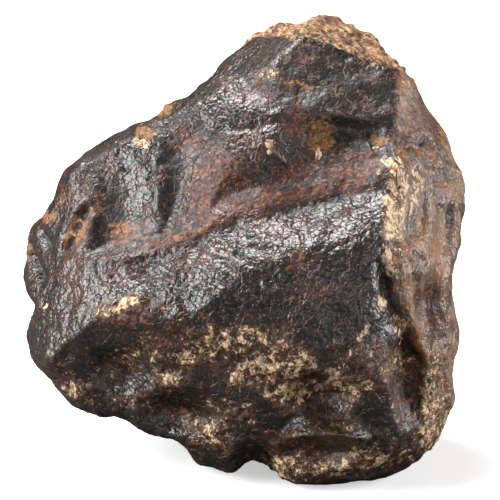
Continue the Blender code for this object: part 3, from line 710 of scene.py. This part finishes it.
def stone_mesh(sizes):
    """The stone: gridded directions carried out to its surface, raised by the relief and stood on its foot."""
    ball, quads = gridded_ball(sizes.grid, sizes.crowding)
    p = surface_points(ball)
    normals = outward(p, quads)
    found, front = zones(p)
    lines = streaks(p, found, front)
    plain = stand_upright(p)
    resting = plain[:, 2] < 0.01
    keep = ease(plain[:, 2], 0.0, 1.5)
    raised = p + normals * (relief(p, found, lines, sizes) * keep)[:, None]
    standing = stand_upright(raised)
    standing[:, 2] = np.where(resting, 0.0, np.maximum(standing[:, 2], 0.0))
    low, high = (np.array(corner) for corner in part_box("stone"))
    middle = (plain.min(axis=0) + plain.max(axis=0)) / 2
    shift = (low + high) / 2 - middle * MM
    shift[2] = low[2]
    final = outward(raised, quads)
    mesh = bpy.data.meshes.new("meteorite")
    mesh.from_pydata((standing * MM + shift).tolist(), [], quads.tolist())
    for name, values in found.items():
        add_values(mesh, name, values)
    add_values(mesh, "streak", 0.5 + 0.5 * lines)
    # crease: how far each vertex lies below its smoothed neighbours; the material paints shade in creases and a
    # lighter tone on ridges from it
    add_values(mesh, "crease", np.clip(0.5 + hollowness(raised, final, quads, 4) / 0.6, 0, 1))
    add_values(mesh, "dent", np.clip(0.5 + hollowness(raised, final, quads, 40) / 2.4, 0, 1))
    mesh.shade_smooth()
    mesh.update()
    return mesh


class Wiring:
    """Adds nodes to a tree. Each method returns the socket that it makes; inputs are numbers or sockets."""

    def __init__(self, tree):
        self.tree = tree

    def add(self, kind, inputs=None, **settings):
        node = self.tree.nodes.new(kind)
        for name, value in settings.items():
            setattr(node, name, value)
        for name, value in (inputs or {}).items():
            self.put(node.inputs[name], value)
        return node

    def put(self, socket, value):
        if isinstance(value, bpy.types.NodeSocket):
            self.tree.links.new(value, socket)
        else:
            socket.default_value = value

    def math(self, operation, a, b=0.0, clamp=False):
        return self.add("ShaderNodeMath", {0: a, 1: b}, operation=operation, use_clamp=clamp).outputs[0]

    def fade(self, value, low, high, start=0.0, end=1.0):
        """start below low, end above high and an S curve between them."""
        inputs = {"Value": value, "From Min": low, "From Max": high, "To Min": start, "To Max": end}
        return self.add("ShaderNodeMapRange", inputs, interpolation_type="SMOOTHSTEP").outputs["Result"]

    def mix(self, share, a, b):
        return self.add("ShaderNodeMix", {0: share, 6: a, 7: b}, data_type="RGBA").outputs[2]

    def noise(self, vector, scale, detail=2.0, roughness=0.5, distortion=0.0):
        inputs = {"Vector": vector, "Scale": scale, "Detail": detail, "Roughness": roughness, "Distortion": distortion}
        return self.add("ShaderNodeTexNoise", inputs).outputs[0]

    def cells(self, vector, scale, feature="F1"):
        inputs = {"Vector": vector, "Scale": scale}
        return self.add("ShaderNodeTexVoronoi", inputs, feature=feature).outputs["Distance"]

    def attribute(self, name):
        return self.add("ShaderNodeAttribute", attribute_name=name).outputs["Fac"]


def new_group(name, inputs, outputs):
    """An empty node group with named inputs (type and default) and outputs, and its wiring."""
    tree = bpy.data.node_groups.new(name, "ShaderNodeTree")
    for label, (kind, default) in inputs.items():
        socket = tree.interface.new_socket(label, in_out="INPUT", socket_type=kind)
        if default is not None:
            socket.default_value = default
    for label, kind in outputs.items():
        tree.interface.new_socket(label, in_out="OUTPUT", socket_type=kind)
    wires = Wiring(tree)
    return tree, wires, wires.add("NodeGroupInput").outputs, wires.add("NodeGroupOutput").inputs


def ragged_patch_group():
    """Gives a placed patch a ragged edge: noise is added to its value before it is cut at a half."""
    tree, wires, given, out = new_group(
        "ragged patch",
        {
            "Vector": ("NodeSocketVector", None),
            "Patch": ("NodeSocketFloat", 0.0),
            "Scale": ("NodeSocketFloat", 0.5),
            "Wander": ("NodeSocketFloat", 0.8),
            "Softness": ("NodeSocketFloat", 0.15),
        },
        {"Cover": "NodeSocketFloat"},
    )
    ragged = wires.noise(given["Vector"], given["Scale"], 5.0, 0.62, 0.4)
    shift = wires.math("MULTIPLY", wires.math("SUBTRACT", ragged, 0.5), given["Wander"])
    value = wires.math("ADD", given["Patch"], wires.math("MULTIPLY", shift, 2.0))
    low = wires.math("SUBTRACT", 0.5, given["Softness"])
    high = wires.math("ADD", 0.5, given["Softness"])
    wires.put(out["Cover"], wires.fade(value, low, high))
    return tree


def flecks_group():
    """Small scattered flecks: noise cut near its peaks, the more of them the higher Amount is."""
    tree, wires, given, out = new_group(
        "flecks",
        {
            "Vector": ("NodeSocketVector", None),
            "Scale": ("NodeSocketFloat", 1.5),
            "Amount": ("NodeSocketFloat", 0.3),
        },
        {"Flecks": "NodeSocketFloat"},
    )
    grain = wires.noise(given["Vector"], given["Scale"], 5.0, 0.72, 0.2)
    cut = wires.math("SUBTRACT", 0.72, wires.math("MULTIPLY", given["Amount"], 0.30))
    wires.put(out["Flecks"], wires.fade(grain, cut, wires.math("ADD", cut, 0.10)))
    return tree


def mottle_group():
    """Ragged blotches: noise cut at a level that a placed patch lowers, with a wider halo round them."""
    tree, wires, given, out = new_group(
        "mottle",
        {
            "Vector": ("NodeSocketVector", None),
            "Patch": ("NodeSocketFloat", 0.0),
            "Scale": ("NodeSocketFloat", 0.45),
        },
        {"Blotches": "NodeSocketFloat", "Halo": "NodeSocketFloat"},
    )
    broad = wires.noise(given["Vector"], wires.math("MULTIPLY", given["Scale"], 0.3), 2.0, 0.5, 0.6)
    ragged = wires.noise(given["Vector"], given["Scale"], 4.0, 0.58, 0.5)
    lift = wires.math("MULTIPLY", wires.math("SUBTRACT", given["Patch"], 0.75), 0.22)
    value = wires.math("ADD", wires.math("ADD", ragged, lift), wires.math("MULTIPLY", wires.math("SUBTRACT", broad, 0.5), 0.5))
    wires.put(out["Blotches"], wires.fade(value, 0.555, 0.60))
    wires.put(out["Halo"], wires.fade(value, 0.46, 0.54))
    return tree


def drawn_group():
    """Flow lines: noise drawn out along a direction that leans Turn up from level in the front view."""
    tree, wires, given, out = new_group(
        "flow lines",
        {"Vector": ("NodeSocketVector", None), "Turn": ("NodeSocketFloat", 0.0), "Scale": ("NodeSocketFloat", 1.0)},
        {"Lines": "NodeSocketFloat"},
    )
    turned = wires.add("ShaderNodeVectorRotate", {"Vector": given["Vector"], "Angle": given["Turn"]}, rotation_type="Y_AXIS")
    drawn = wires.add("ShaderNodeVectorMath", {0: turned.outputs[0], 1: (0.11, 0.5, 1.0)}, operation="MULTIPLY")
    wires.put(out["Lines"], wires.noise(drawn.outputs[0], given["Scale"], 4.0, 0.65, 0.5))
    return tree


def cracks_group():
    """Cracks of a dried crust: the borders of swayed cells, cut to lines and broken up by noise."""
    tree, wires, given, out = new_group(
        "cracks",
        {"Vector": ("NodeSocketVector", None), "Scale": ("NodeSocketFloat", 0.3), "Width": ("NodeSocketFloat", 0.045)},
        {"Cracks": "NodeSocketFloat"},
    )
    sway = wires.add("ShaderNodeTexNoise", {"Vector": given["Vector"], "Scale": 0.5, "Detail": 4.0}).outputs["Color"]
    swayed = wires.add("ShaderNodeVectorMath", {0: sway, 1: (1.8, 1.8, 1.8), 2: given["Vector"]}, operation="MULTIPLY_ADD")
    border = wires.cells(swayed.outputs[0], given["Scale"], "DISTANCE_TO_EDGE")
    line = wires.fade(border, 0.0, given["Width"], 1.0, 0.0)
    kept = wires.fade(wires.noise(given["Vector"], 0.22, 3.0, 0.6), 0.48, 0.58)
    wires.put(out["Cracks"], wires.math("MULTIPLY", line, kept))
    return tree


def grain_height_group():
    """The height of the fine relief: domes round scattered points, parted by creases, with grain on top."""
    tree, wires, given, out = new_group(
        "grain height",
        {"Vector": ("NodeSocketVector", None), "Scale": ("NodeSocketFloat", 1.0), "Domes": ("NodeSocketFloat", 0.8)},
        {"Height": "NodeSocketFloat"},
    )
    sway = wires.add("ShaderNodeTexNoise", {"Vector": given["Vector"], "Scale": 0.7, "Detail": 2.0}).outputs["Color"]
    swayed = wires.add("ShaderNodeVectorMath", {0: sway, 1: (1.1, 1.1, 1.1), 2: given["Vector"]}, operation="MULTIPLY_ADD")
    domes = wires.cells(swayed.outputs[0], given["Scale"])
    rounded = wires.math("SUBTRACT", 1.0, wires.math("MULTIPLY", domes, domes))
    fine = wires.noise(given["Vector"], wires.math("MULTIPLY", given["Scale"], 1.6), 2.0, 0.5, 0.1)
    raised = wires.math("MULTIPLY", rounded, given["Domes"])
    wires.put(out["Height"], wires.math("ADD", raised, wires.math("MULTIPLY", fine, 0.6)))
    return tree


def crust_material(finish):
    """Black fusion crust, rust, ochre and tan crumbs over it, a smoother grey-brown side and broken stone, with
    painted shade in hollows, creases and holes, painted highlights on the ledge and ridges, and a painted orange rim
    light round the outline.
    """
    material = bpy.data.materials.new("crust")
    material.use_nodes = True
    tree = material.node_tree
    wires = Wiring(tree)
    shader = tree.nodes["Principled BSDF"]
    place = wires.add("ShaderNodeTexCoord").outputs["Object"]
    mm = wires.add("ShaderNodeVectorMath", {0: place, "Scale": 1000.0}, operation="SCALE").outputs[0]
    ragged, flecks, mottle, grain = ragged_patch_group(), flecks_group(), mottle_group(), grain_height_group()
    drawn, cracks = drawn_group(), cracks_group()

    def use(group, output, **inputs):
        node = wires.add("ShaderNodeGroup", node_tree=group)
        for name, value in {"Vector": mm, **inputs}.items():
            wires.put(node.inputs[name], value)
        return node.outputs[output]

    def cover(name, scale, wander, softness):
        return use(ragged, "Cover", Patch=wires.attribute(name), Scale=scale, Wander=wander, Softness=softness)

    def tone(name):
        return (*getattr(finish, name), 1.0)

    def both(a, b):
        return wires.math("MULTIPLY", a, b)

    def most(*values):
        highest = values[0]
        for value in values[1:]:
            highest = wires.math("MAXIMUM", highest, value)
        return highest

    broken = cover("broken", 0.9, 0.25, 0.06)
    side = cover("side", 0.35, 0.5, 0.22)
    rust = cover("rust", 0.40, 1.1, 0.20)
    ochre = cover("ochre", 0.45, 1.0, 0.12)
    mottled = cover("mottle", 0.35, 1.0, 0.25)
    pale = cover("pale", 0.42, 1.2, 0.05)
    pink_and_painted_highlight = cover("pink_and_painted_highlight", 0.5, 0.8, 0.3)
    black_and_painted_shade = cover("black_and_painted_shade", 0.4, 0.7, 0.3)
    groove, left = wires.attribute("groove"), wires.attribute("left")
    streak, crease, dent = wires.attribute("streak"), wires.attribute("crease"), wires.attribute("dent")
    cracked = use(cracks, "Cracks")
    along_groove = use(drawn, "Lines", Turn=math.radians(18), Scale=1.1)
    down_side = use(drawn, "Lines", Turn=math.radians(82), Scale=0.8)
    up_left = use(drawn, "Lines", Turn=math.radians(40), Scale=1.0)

    blotch = wires.noise(mm, 0.22, 4.0, 0.6, 0.3)
    speckle = wires.noise(mm, 1.9, 3.0, 0.68, 0.2)
    colour = wires.mix(wires.fade(blotch, 0.38, 0.62), tone("black_crust_and_painted_shade"), tone("grey_crust"))
    colour = wires.mix(wires.fade(speckle, 0.48, 0.66), colour, tone("ashen_crust"))
    flow = wires.math("ADD", both(down_side, 0.55), both(streak, 0.45))
    side_tone = wires.mix(wires.fade(flow, 0.43, 0.58), tone("side_shade"), tone("side_light"))
    side_tone = wires.mix(wires.fade(blotch, 0.46, 0.62, 0.0, 0.5), side_tone, tone("side_grey"))
    side_tone = wires.mix(wires.fade(wires.noise(mm, 0.28, 5.0, 0.62), 0.50, 0.60, 0.0, 0.8), side_tone, tone("crumb_shade"))
    colour = wires.mix(side, colour, side_tone)
    # Pinkish film on the crust; on the ledge it is a painted highlight
    colour = wires.mix(both(pink_and_painted_highlight, wires.fade(speckle, 0.35, 0.6, 0.25, 0.8)), colour, tone("rosy_film_and_painted_highlight"))
    rusty = wires.mix(wires.fade(wires.noise(mm, 0.9, 5.0, 0.7), 0.44, 0.66), tone("rust_shade"), tone("rust_light"))
    colour = wires.mix(both(rust, wires.fade(wires.noise(mm, 0.35, 5.0, 0.65), 0.40, 0.55, 0.25, 0.95)), colour, rusty)
    lines = most(both(groove, along_groove), both(left, up_left))
    colour = wires.mix(wires.fade(lines, 0.50, 0.60, 0.0, 0.45), colour, tone("rust_light"))
    # Black patches: painted shade in hollows and on downward faces, in the crust's black
    colour = wires.mix(both(black_and_painted_shade, 0.8), colour, tone("black_crust_and_painted_shade"))
    fleck = use(flecks, "Flecks", Scale=0.75, Amount=wires.fade(wires.attribute("rust"), 0.0, 0.8, 0.48, 0.68))
    colour = wires.mix(both(fleck, 0.85), colour, tone("orange_fleck"))
    ochre_tone = wires.mix(wires.fade(speckle, 0.44, 0.64), tone("ochre_shade"), tone("ochre_light"))
    # The ochre mask also holds the painted orange rim light round the outline
    colour = wires.mix(both(ochre, 0.85), colour, ochre_tone)
    mottle_patch = wires.attribute("mottle")
    blotches, halo = (use(mottle, name, Patch=mottle_patch, Scale=0.42) for name in ("Blotches", "Halo"))
    crumbs = use(mottle, "Blotches", Patch=mottle_patch, Scale=1.0)
    colour = wires.mix(both(mottled, 0.6), colour, tone("brown_ground"))
    halo_tone = wires.mix(wires.fade(speckle, 0.4, 0.62), tone("rust_shade"), tone("crumb_shade"))
    colour = wires.mix(both(mottled, both(halo, 0.85)), colour, halo_tone)
    crumb_tone = wires.mix(wires.fade(speckle, 0.38, 0.54), tone("crumb_shade"), tone("crumb_light"))
    colour = wires.mix(both(mottled, both(crumbs, 0.8)), colour, crumb_tone)
    colour = wires.mix(both(mottled, blotches), colour, crumb_tone)
    stone_speck = wires.noise(mm, 0.8, 5.0, 0.7, 0.4)
    pale_tone = wires.mix(wires.fade(stone_speck, 0.40, 0.52), tone("crumb_shade"), tone("pale_chip"))
    around_pale = cover("pale", 0.42, 1.2, 0.28)
    colour = wires.mix(both(around_pale, 0.75), colour, halo_tone)
    colour = wires.mix(both(pale, wires.fade(down_side, 0.36, 0.46)), colour, pale_tone)
    open_tone = wires.mix(wires.fade(stone_speck, 0.40, 0.58), tone("matrix_shade"), tone("matrix_light"))
    stain = use(drawn, "Lines", Turn=math.radians(-50), Scale=0.55)
    open_tone = wires.mix(wires.fade(stain, 0.48, 0.58), open_tone, tone("matrix_brown"))
    pits = wires.fade(wires.cells(mm, 0.5), 0.22, 0.40, 1.0, 0.0)
    dark_lines = wires.fade(use(drawn, "Lines", Turn=math.radians(-50), Scale=0.9), 0.57, 0.63)
    open_tone = wires.mix(both(most(pits, dark_lines), 0.9), open_tone, tone("pit_shade"))
    colour = wires.mix(broken, colour, open_tone)
    # Lighter on ridges and bump tops: partly edge wear, partly painted highlight
    colour = wires.mix(wires.fade(crease, 0.38, 0.10, 0.0, 0.10), colour, tone("edge_wear_and_painted_highlight"))
    # Painted shade in the cut holes and cracks, with random dark spots from noise
    holes = wires.math("ADD", wires.attribute("painted_hole_shade"), both(wires.math("SUBTRACT", wires.noise(mm, 0.9, 3.0), 0.5), 1.2))
    crust_only = wires.math("SUBTRACT", 1.0, most(broken, both(side, 0.7), mottled))
    cracked = both(cracked, crust_only)
    crack_tone = wires.mix(wires.fade(blotch, 0.45, 0.6), tone("crack_and_painted_crease_shade"), tone("rust_light"))
    colour = wires.mix(both(cracked, 0.9), colour, crack_tone)
    # Painted shade in creases and holes: darker where the surface lies below its neighbours
    painted_crease_and_hole_shade = most(wires.fade(crease, 0.60, 0.9, 0.0, 0.6), wires.fade(holes, 0.35, 0.55))
    colour = wires.mix(painted_crease_and_hole_shade, colour, tone("crack_and_painted_crease_shade"))
    wires.put(shader.inputs["Base Color"], colour)

    rough = wires.fade(speckle, 0.3, 0.7, finish.gloss_roughness, finish.gloss_roughness + 0.14)
    dull = most(broken, pale, both(mottled, 0.5), both(cover("dull", 0.3, 0.6, 0.3), 0.25), both(most(rust, ochre), 0.7), wires.fade(dent, 0.55, 0.9, 0.0, 0.4))
    wires.put(shader.inputs["Roughness"], wires.math("ADD", rough, both(dull, 0.36), True))
    satin = cover("dull", 0.3, 0.6, 0.3)
    height = both(use(grain, "Height", Scale=0.85, Domes=1.0), wires.math("SUBTRACT", 1.0, both(satin, 0.4)))
    height = wires.math("SUBTRACT", height, both(cracked, 1.6))
    height = wires.math("SUBTRACT", height, both(both(broken, most(pits, dark_lines)), 2.0))
    height = wires.math("ADD", height, both(both(side, down_side), 2.5))
    height = wires.math("ADD", height, both(lines, 1.5))
    height = wires.math("ADD", height, both(both(mottled, most(blotches, both(crumbs, 0.6))), 2.4))
    bump = wires.add("ShaderNodeBump", {"Height": height, "Distance": finish.grain_height, "Strength": 1.0})
    wires.put(shader.inputs["Normal"], bump.outputs["Normal"])
    shader.inputs["IOR"].default_value = finish.refraction
    return material


def floor_material(stage):
    """Plain pale floor: the lens sees it as pale as its colour, and it throws a dimmer light back."""
    material = bpy.data.materials.new("floor")
    material.use_nodes = True
    wires = Wiring(material.node_tree)
    shader = material.node_tree.nodes["Principled BSDF"]
    seen = wires.add("ShaderNodeLightPath").outputs["Is Camera Ray"]
    pale, dim = (*stage.floor_colour, 1.0), (*[c * stage.floor_bounce for c in stage.floor_colour], 1.0)
    wires.put(shader.inputs["Base Color"], wires.mix(seen, dim, pale))
    shader.inputs["Roughness"].default_value = 0.9
    shader.inputs["Specular IOR Level"].default_value = 0.1
    shader.inputs["Emission Color"].default_value = (1.0, 1.0, 1.0, 1.0)
    wires.put(shader.inputs["Emission Strength"], wires.fade(seen, 0.0, 1.0, 0.0, stage.floor_glow))
    return material


def colour_property(label, description, default):
    return FloatVectorProperty(
        name=label, description=description, default=default, subtype="COLOR", size=3, min=0.0, max=1.0
    )


class MeteoriteSizes(bpy.types.PropertyGroup):
    """Sizes of the stone's relief."""

    grid: IntProperty(
        name="Grid", description="Quads along each side of the six grids", default=128, min=16, max=128
    )
    crowding: FloatProperty(
        name="Crowding", description="How far the grid is drawn to the front", default=0.4, min=0.0, max=0.8
    )
    wrinkle_height: FloatProperty(
        name="Wrinkle height", description="Height of the wrinkles of the crust", default=0.34 * MM,
        min=0.0, unit="LENGTH", subtype="DISTANCE", precision=5,
    )
    pit_depth: FloatProperty(
        name="Pit depth", description="Depth of the pits in bare and crumbly stone", default=0.5 * MM,
        min=0.0, unit="LENGTH", subtype="DISTANCE", precision=5,
    )
    crust_thickness: FloatProperty(
        name="Crust thickness", description="Step down from the crust to the broken stone", default=0.5 * MM,
        min=0.0, unit="LENGTH", subtype="DISTANCE", precision=5,
    )


class MeteoriteFinish(bpy.types.PropertyGroup):
    """Colours and gloss of the stone."""

    # Also painted over hollows and downward faces as shade
    black_crust_and_painted_shade: colour_property("Black crust", "Darkest glassy crust", (0.006, 0.005, 0.0045))
    grey_crust: colour_property("Grey crust", "Ordinary crust", (0.016, 0.012, 0.009))
    ashen_crust: colour_property("Ashen crust", "Light grain on the crust", (0.042, 0.030, 0.022))
    side_shade: colour_property("Side shade", "Dark flow lines of the smoother side", (0.060, 0.030, 0.016))
    side_light: colour_property("Side light", "Light flow lines of the smoother side", (0.27, 0.16, 0.088))
    side_grey: colour_property("Side grey", "Grey blooms on the smoother side", (0.105, 0.080, 0.066))
    # Also painted on the ledge as a highlight
    rosy_film_and_painted_highlight: colour_property("Rosy film", "Thin pinkish film on the crust", (0.10, 0.045, 0.035))
    rust_shade: colour_property("Rust shade", "Dark red-brown rust", (0.016, 0.004, 0.0025))
    rust_light: colour_property("Rust light", "Light red-brown rust", (0.155, 0.026, 0.008))
    orange_fleck: colour_property("Orange flecks", "Small rust flecks", (0.32, 0.095, 0.022))
    # Ochre tones are also painted round the outline as orange rim light
    ochre_shade: colour_property("Ochre shade", "Dark ochre weathering", (0.13, 0.062, 0.018))
    ochre_light: colour_property("Ochre light", "Light ochre weathering", (0.52, 0.20, 0.04))
    brown_ground: colour_property("Brown ground", "Ground between the crumbs", (0.070, 0.030, 0.011))
    crumb_shade: colour_property("Crumb shade", "Darker tan crumbs", (0.32, 0.125, 0.036))
    crumb_light: colour_property("Crumb light", "Lighter tan crumbs", (0.86, 0.63, 0.39))
    pale_chip: colour_property("Pale chips", "Palest bare stone", (0.86, 0.65, 0.43))
    matrix_shade: colour_property("Broken stone shade", "Dark grain of the broken stone", (0.16, 0.062, 0.020))
    matrix_light: colour_property("Broken stone light", "Light grain of the broken stone", (0.60, 0.35, 0.155))
    matrix_brown: colour_property("Broken stone brown", "Brown blotches of the broken stone", (0.16, 0.058, 0.018))
    pit_shade: colour_property("Pits", "Floor of the small pits", (0.030, 0.014, 0.008))
    # Partly edge wear, partly painted highlight on ridges
    edge_wear_and_painted_highlight: colour_property("Worn edges", "Rubbed edges of bumps", (0.30, 0.20, 0.13))
    # Also painted in creases and holes as shade
    crack_and_painted_crease_shade: colour_property("Cracks", "Floor of cracks and creases", (0.012, 0.008, 0.006))
    gloss_roughness: FloatProperty(
        name="Crust roughness", description="Roughness of the glassiest crust", default=0.27, min=0.0, max=1.0
    )
    refraction: FloatProperty(
        name="Refraction", description="Refractive index of the crust, which sets its shine", default=1.62,
        min=1.0, max=3.0,
    )
    grain_height: FloatProperty(
        name="Grain height", description="Height of the finest grain", default=0.20 * MM,
        min=0.0, unit="LENGTH", subtype="DISTANCE", precision=5,
    )


class StudioStage(bpy.types.PropertyGroup):
    """Floor, lights and camera."""

    floor_colour: colour_property("Floor colour", "Colour of the plain floor", (0.92, 0.92, 0.92))
    floor_bounce: FloatProperty(
        name="Floor bounce", description="Share of its colour that the floor lights the stone with",
        default=0.12, min=0.0, max=1.0,
    )
    floor_glow: FloatProperty(
        name="Floor glow", description="Even brightness that the floor shows by itself", default=0.5, min=0.0
    )
    surround: FloatProperty(
        name="Surround", description="Brightness of the even light all round", default=0.06, min=0.0
    )
    camera_distance: FloatProperty(
        name="Camera distance", description="From the camera to the middle of the stone",
        default=VIEWING_DISTANCE * MM, min=0.2, unit="LENGTH", subtype="DISTANCE",
    )
    camera_height: FloatProperty(
        name="Camera height", description="Angle of the camera above level", default=LEAN,
        min=-1.5, max=1.5, unit="ROTATION", subtype="ANGLE",
    )
    view_width: FloatProperty(
        name="View width", description="Width that the camera takes in at the stone",
        default=0.12766, min=0.01, unit="LENGTH", subtype="DISTANCE",
    )


# Where the middle of the front view lies in the standing part, in metres
VIEW_MIDDLE = Vector((0.0017, -0.0037, 0.0554))
# Each soft light: place from the middle of the view in metres, width in metres and power in watts
LIGHTS = {
    "top softbox": ((-0.26, 0.25, 1.02), 0.5, 18.0),
    "left softbox": ((-0.98, -0.28, 0.36), 0.6, 18.0),
    "right softbox": ((1.05, 0.06, 0.22), 0.6, 12.0),
    "front fill": ((0.5, -1.1, 0.2), 0.8, 4.0),
}


class METEORITE_OT_make_stone(bpy.types.Operator):
    """Make the stone from its sizes and finish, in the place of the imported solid"""

    bl_idname = "meteorite.make_stone"
    bl_label = "Make the stone"

    def execute(self, context):
        mesh = stone_mesh(context.scene.meteorite_sizes)
        mesh.materials.append(crust_material(context.scene.meteorite_finish))
        piece = bpy.data.objects.new("meteorite", mesh)
        context.scene.collection.objects.link(piece)
        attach(piece, "root")
        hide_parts("stone")
        return {"FINISHED"}


class METEORITE_OT_set_stage(bpy.types.Operator):
    """Set the floor, the soft lights, the surround and the camera"""

    bl_idname = "meteorite.set_stage"
    bl_label = "Set the stage"

    def execute(self, context):
        scene, stage = context.scene, context.scene.meteorite_stage
        half = 6.0
        mesh = bpy.data.meshes.new("floor")
        mesh.from_pydata([(-half, -half, 0), (half, -half, 0), (half, half, 0), (-half, half, 0)], [], [(0, 1, 2, 3)])
        mesh.materials.append(floor_material(stage))
        floor = bpy.data.objects.new("floor", mesh)
        scene.collection.objects.link(floor)

        for name, (place, width, power) in LIGHTS.items():
            light = bpy.data.lights.new(name, "AREA")
            light.size = width
            light.energy = power
            lamp = bpy.data.objects.new(name, light)
            lamp.location = VIEW_MIDDLE + Vector(place)
            lamp.rotation_euler = (-Vector(place)).to_track_quat("-Z", "Y").to_euler()
            lamp.visible_camera = False
            scene.collection.objects.link(lamp)

        world = bpy.data.worlds.new("surround")
        world.use_nodes = True
        wires = Wiring(world.node_tree)
        seen = wires.add("ShaderNodeLightPath").outputs["Is Camera Ray"]
        background = world.node_tree.nodes["Background"].inputs
        background["Color"].default_value = (1.0, 1.0, 1.0, 1.0)
        wires.put(background["Strength"], wires.fade(seen, 0.0, 1.0, stage.surround, 1.0))
        scene.world = world

        back = Vector((0.0, -math.cos(stage.camera_height), math.sin(stage.camera_height)))
        camera = bpy.data.cameras.new("camera")
        camera.sensor_width = 36.0
        camera.lens = camera.sensor_width * stage.camera_distance / stage.view_width
        holder = bpy.data.objects.new("camera", camera)
        holder.location = VIEW_MIDDLE + back * stage.camera_distance
        holder.rotation_euler = (-back).to_track_quat("-Z", "Y").to_euler()
        scene.collection.objects.link(holder)
        scene.camera = holder
        scene.view_settings.view_transform = "Standard"
        return {"FINISHED"}


class METEORITE_PT_panel(bpy.types.Panel):
    """Settings and operators of the meteorite"""

    bl_label = "Meteorite"
    bl_space_type = "VIEW_3D"
    bl_region_type = "UI"
    bl_category = "Meteorite"

    def draw(self, context):
        layout = self.layout
        for settings in ("meteorite_sizes", "meteorite_finish", "meteorite_stage"):
            group = getattr(context.scene, settings)
            box = layout.box()
            for name in group.__annotations__:
                box.prop(group, name)
        layout.operator(METEORITE_OT_make_stone.bl_idname)
        layout.operator(METEORITE_OT_set_stage.bl_idname)


CLASSES = (
    MeteoriteSizes,
    MeteoriteFinish,
    StudioStage,
    METEORITE_OT_make_stone,
    METEORITE_OT_set_stage,
    METEORITE_PT_panel,
)


def register():
    for cls in CLASSES:
        bpy.utils.register_class(cls)
    bpy.types.Scene.meteorite_sizes = PointerProperty(type=MeteoriteSizes)
    bpy.types.Scene.meteorite_finish = PointerProperty(type=MeteoriteFinish)
    bpy.types.Scene.meteorite_stage = PointerProperty(type=StudioStage)


def unregister():
    del bpy.types.Scene.meteorite_stage
    del bpy.types.Scene.meteorite_finish
    del bpy.types.Scene.meteorite_sizes
    for cls in reversed(CLASSES):
        bpy.utils.unregister_class(cls)


def main():
    register()
    bpy.ops.meteorite.make_stone()
    bpy.ops.meteorite.set_stage()


if __name__ == "__main__":
    main()
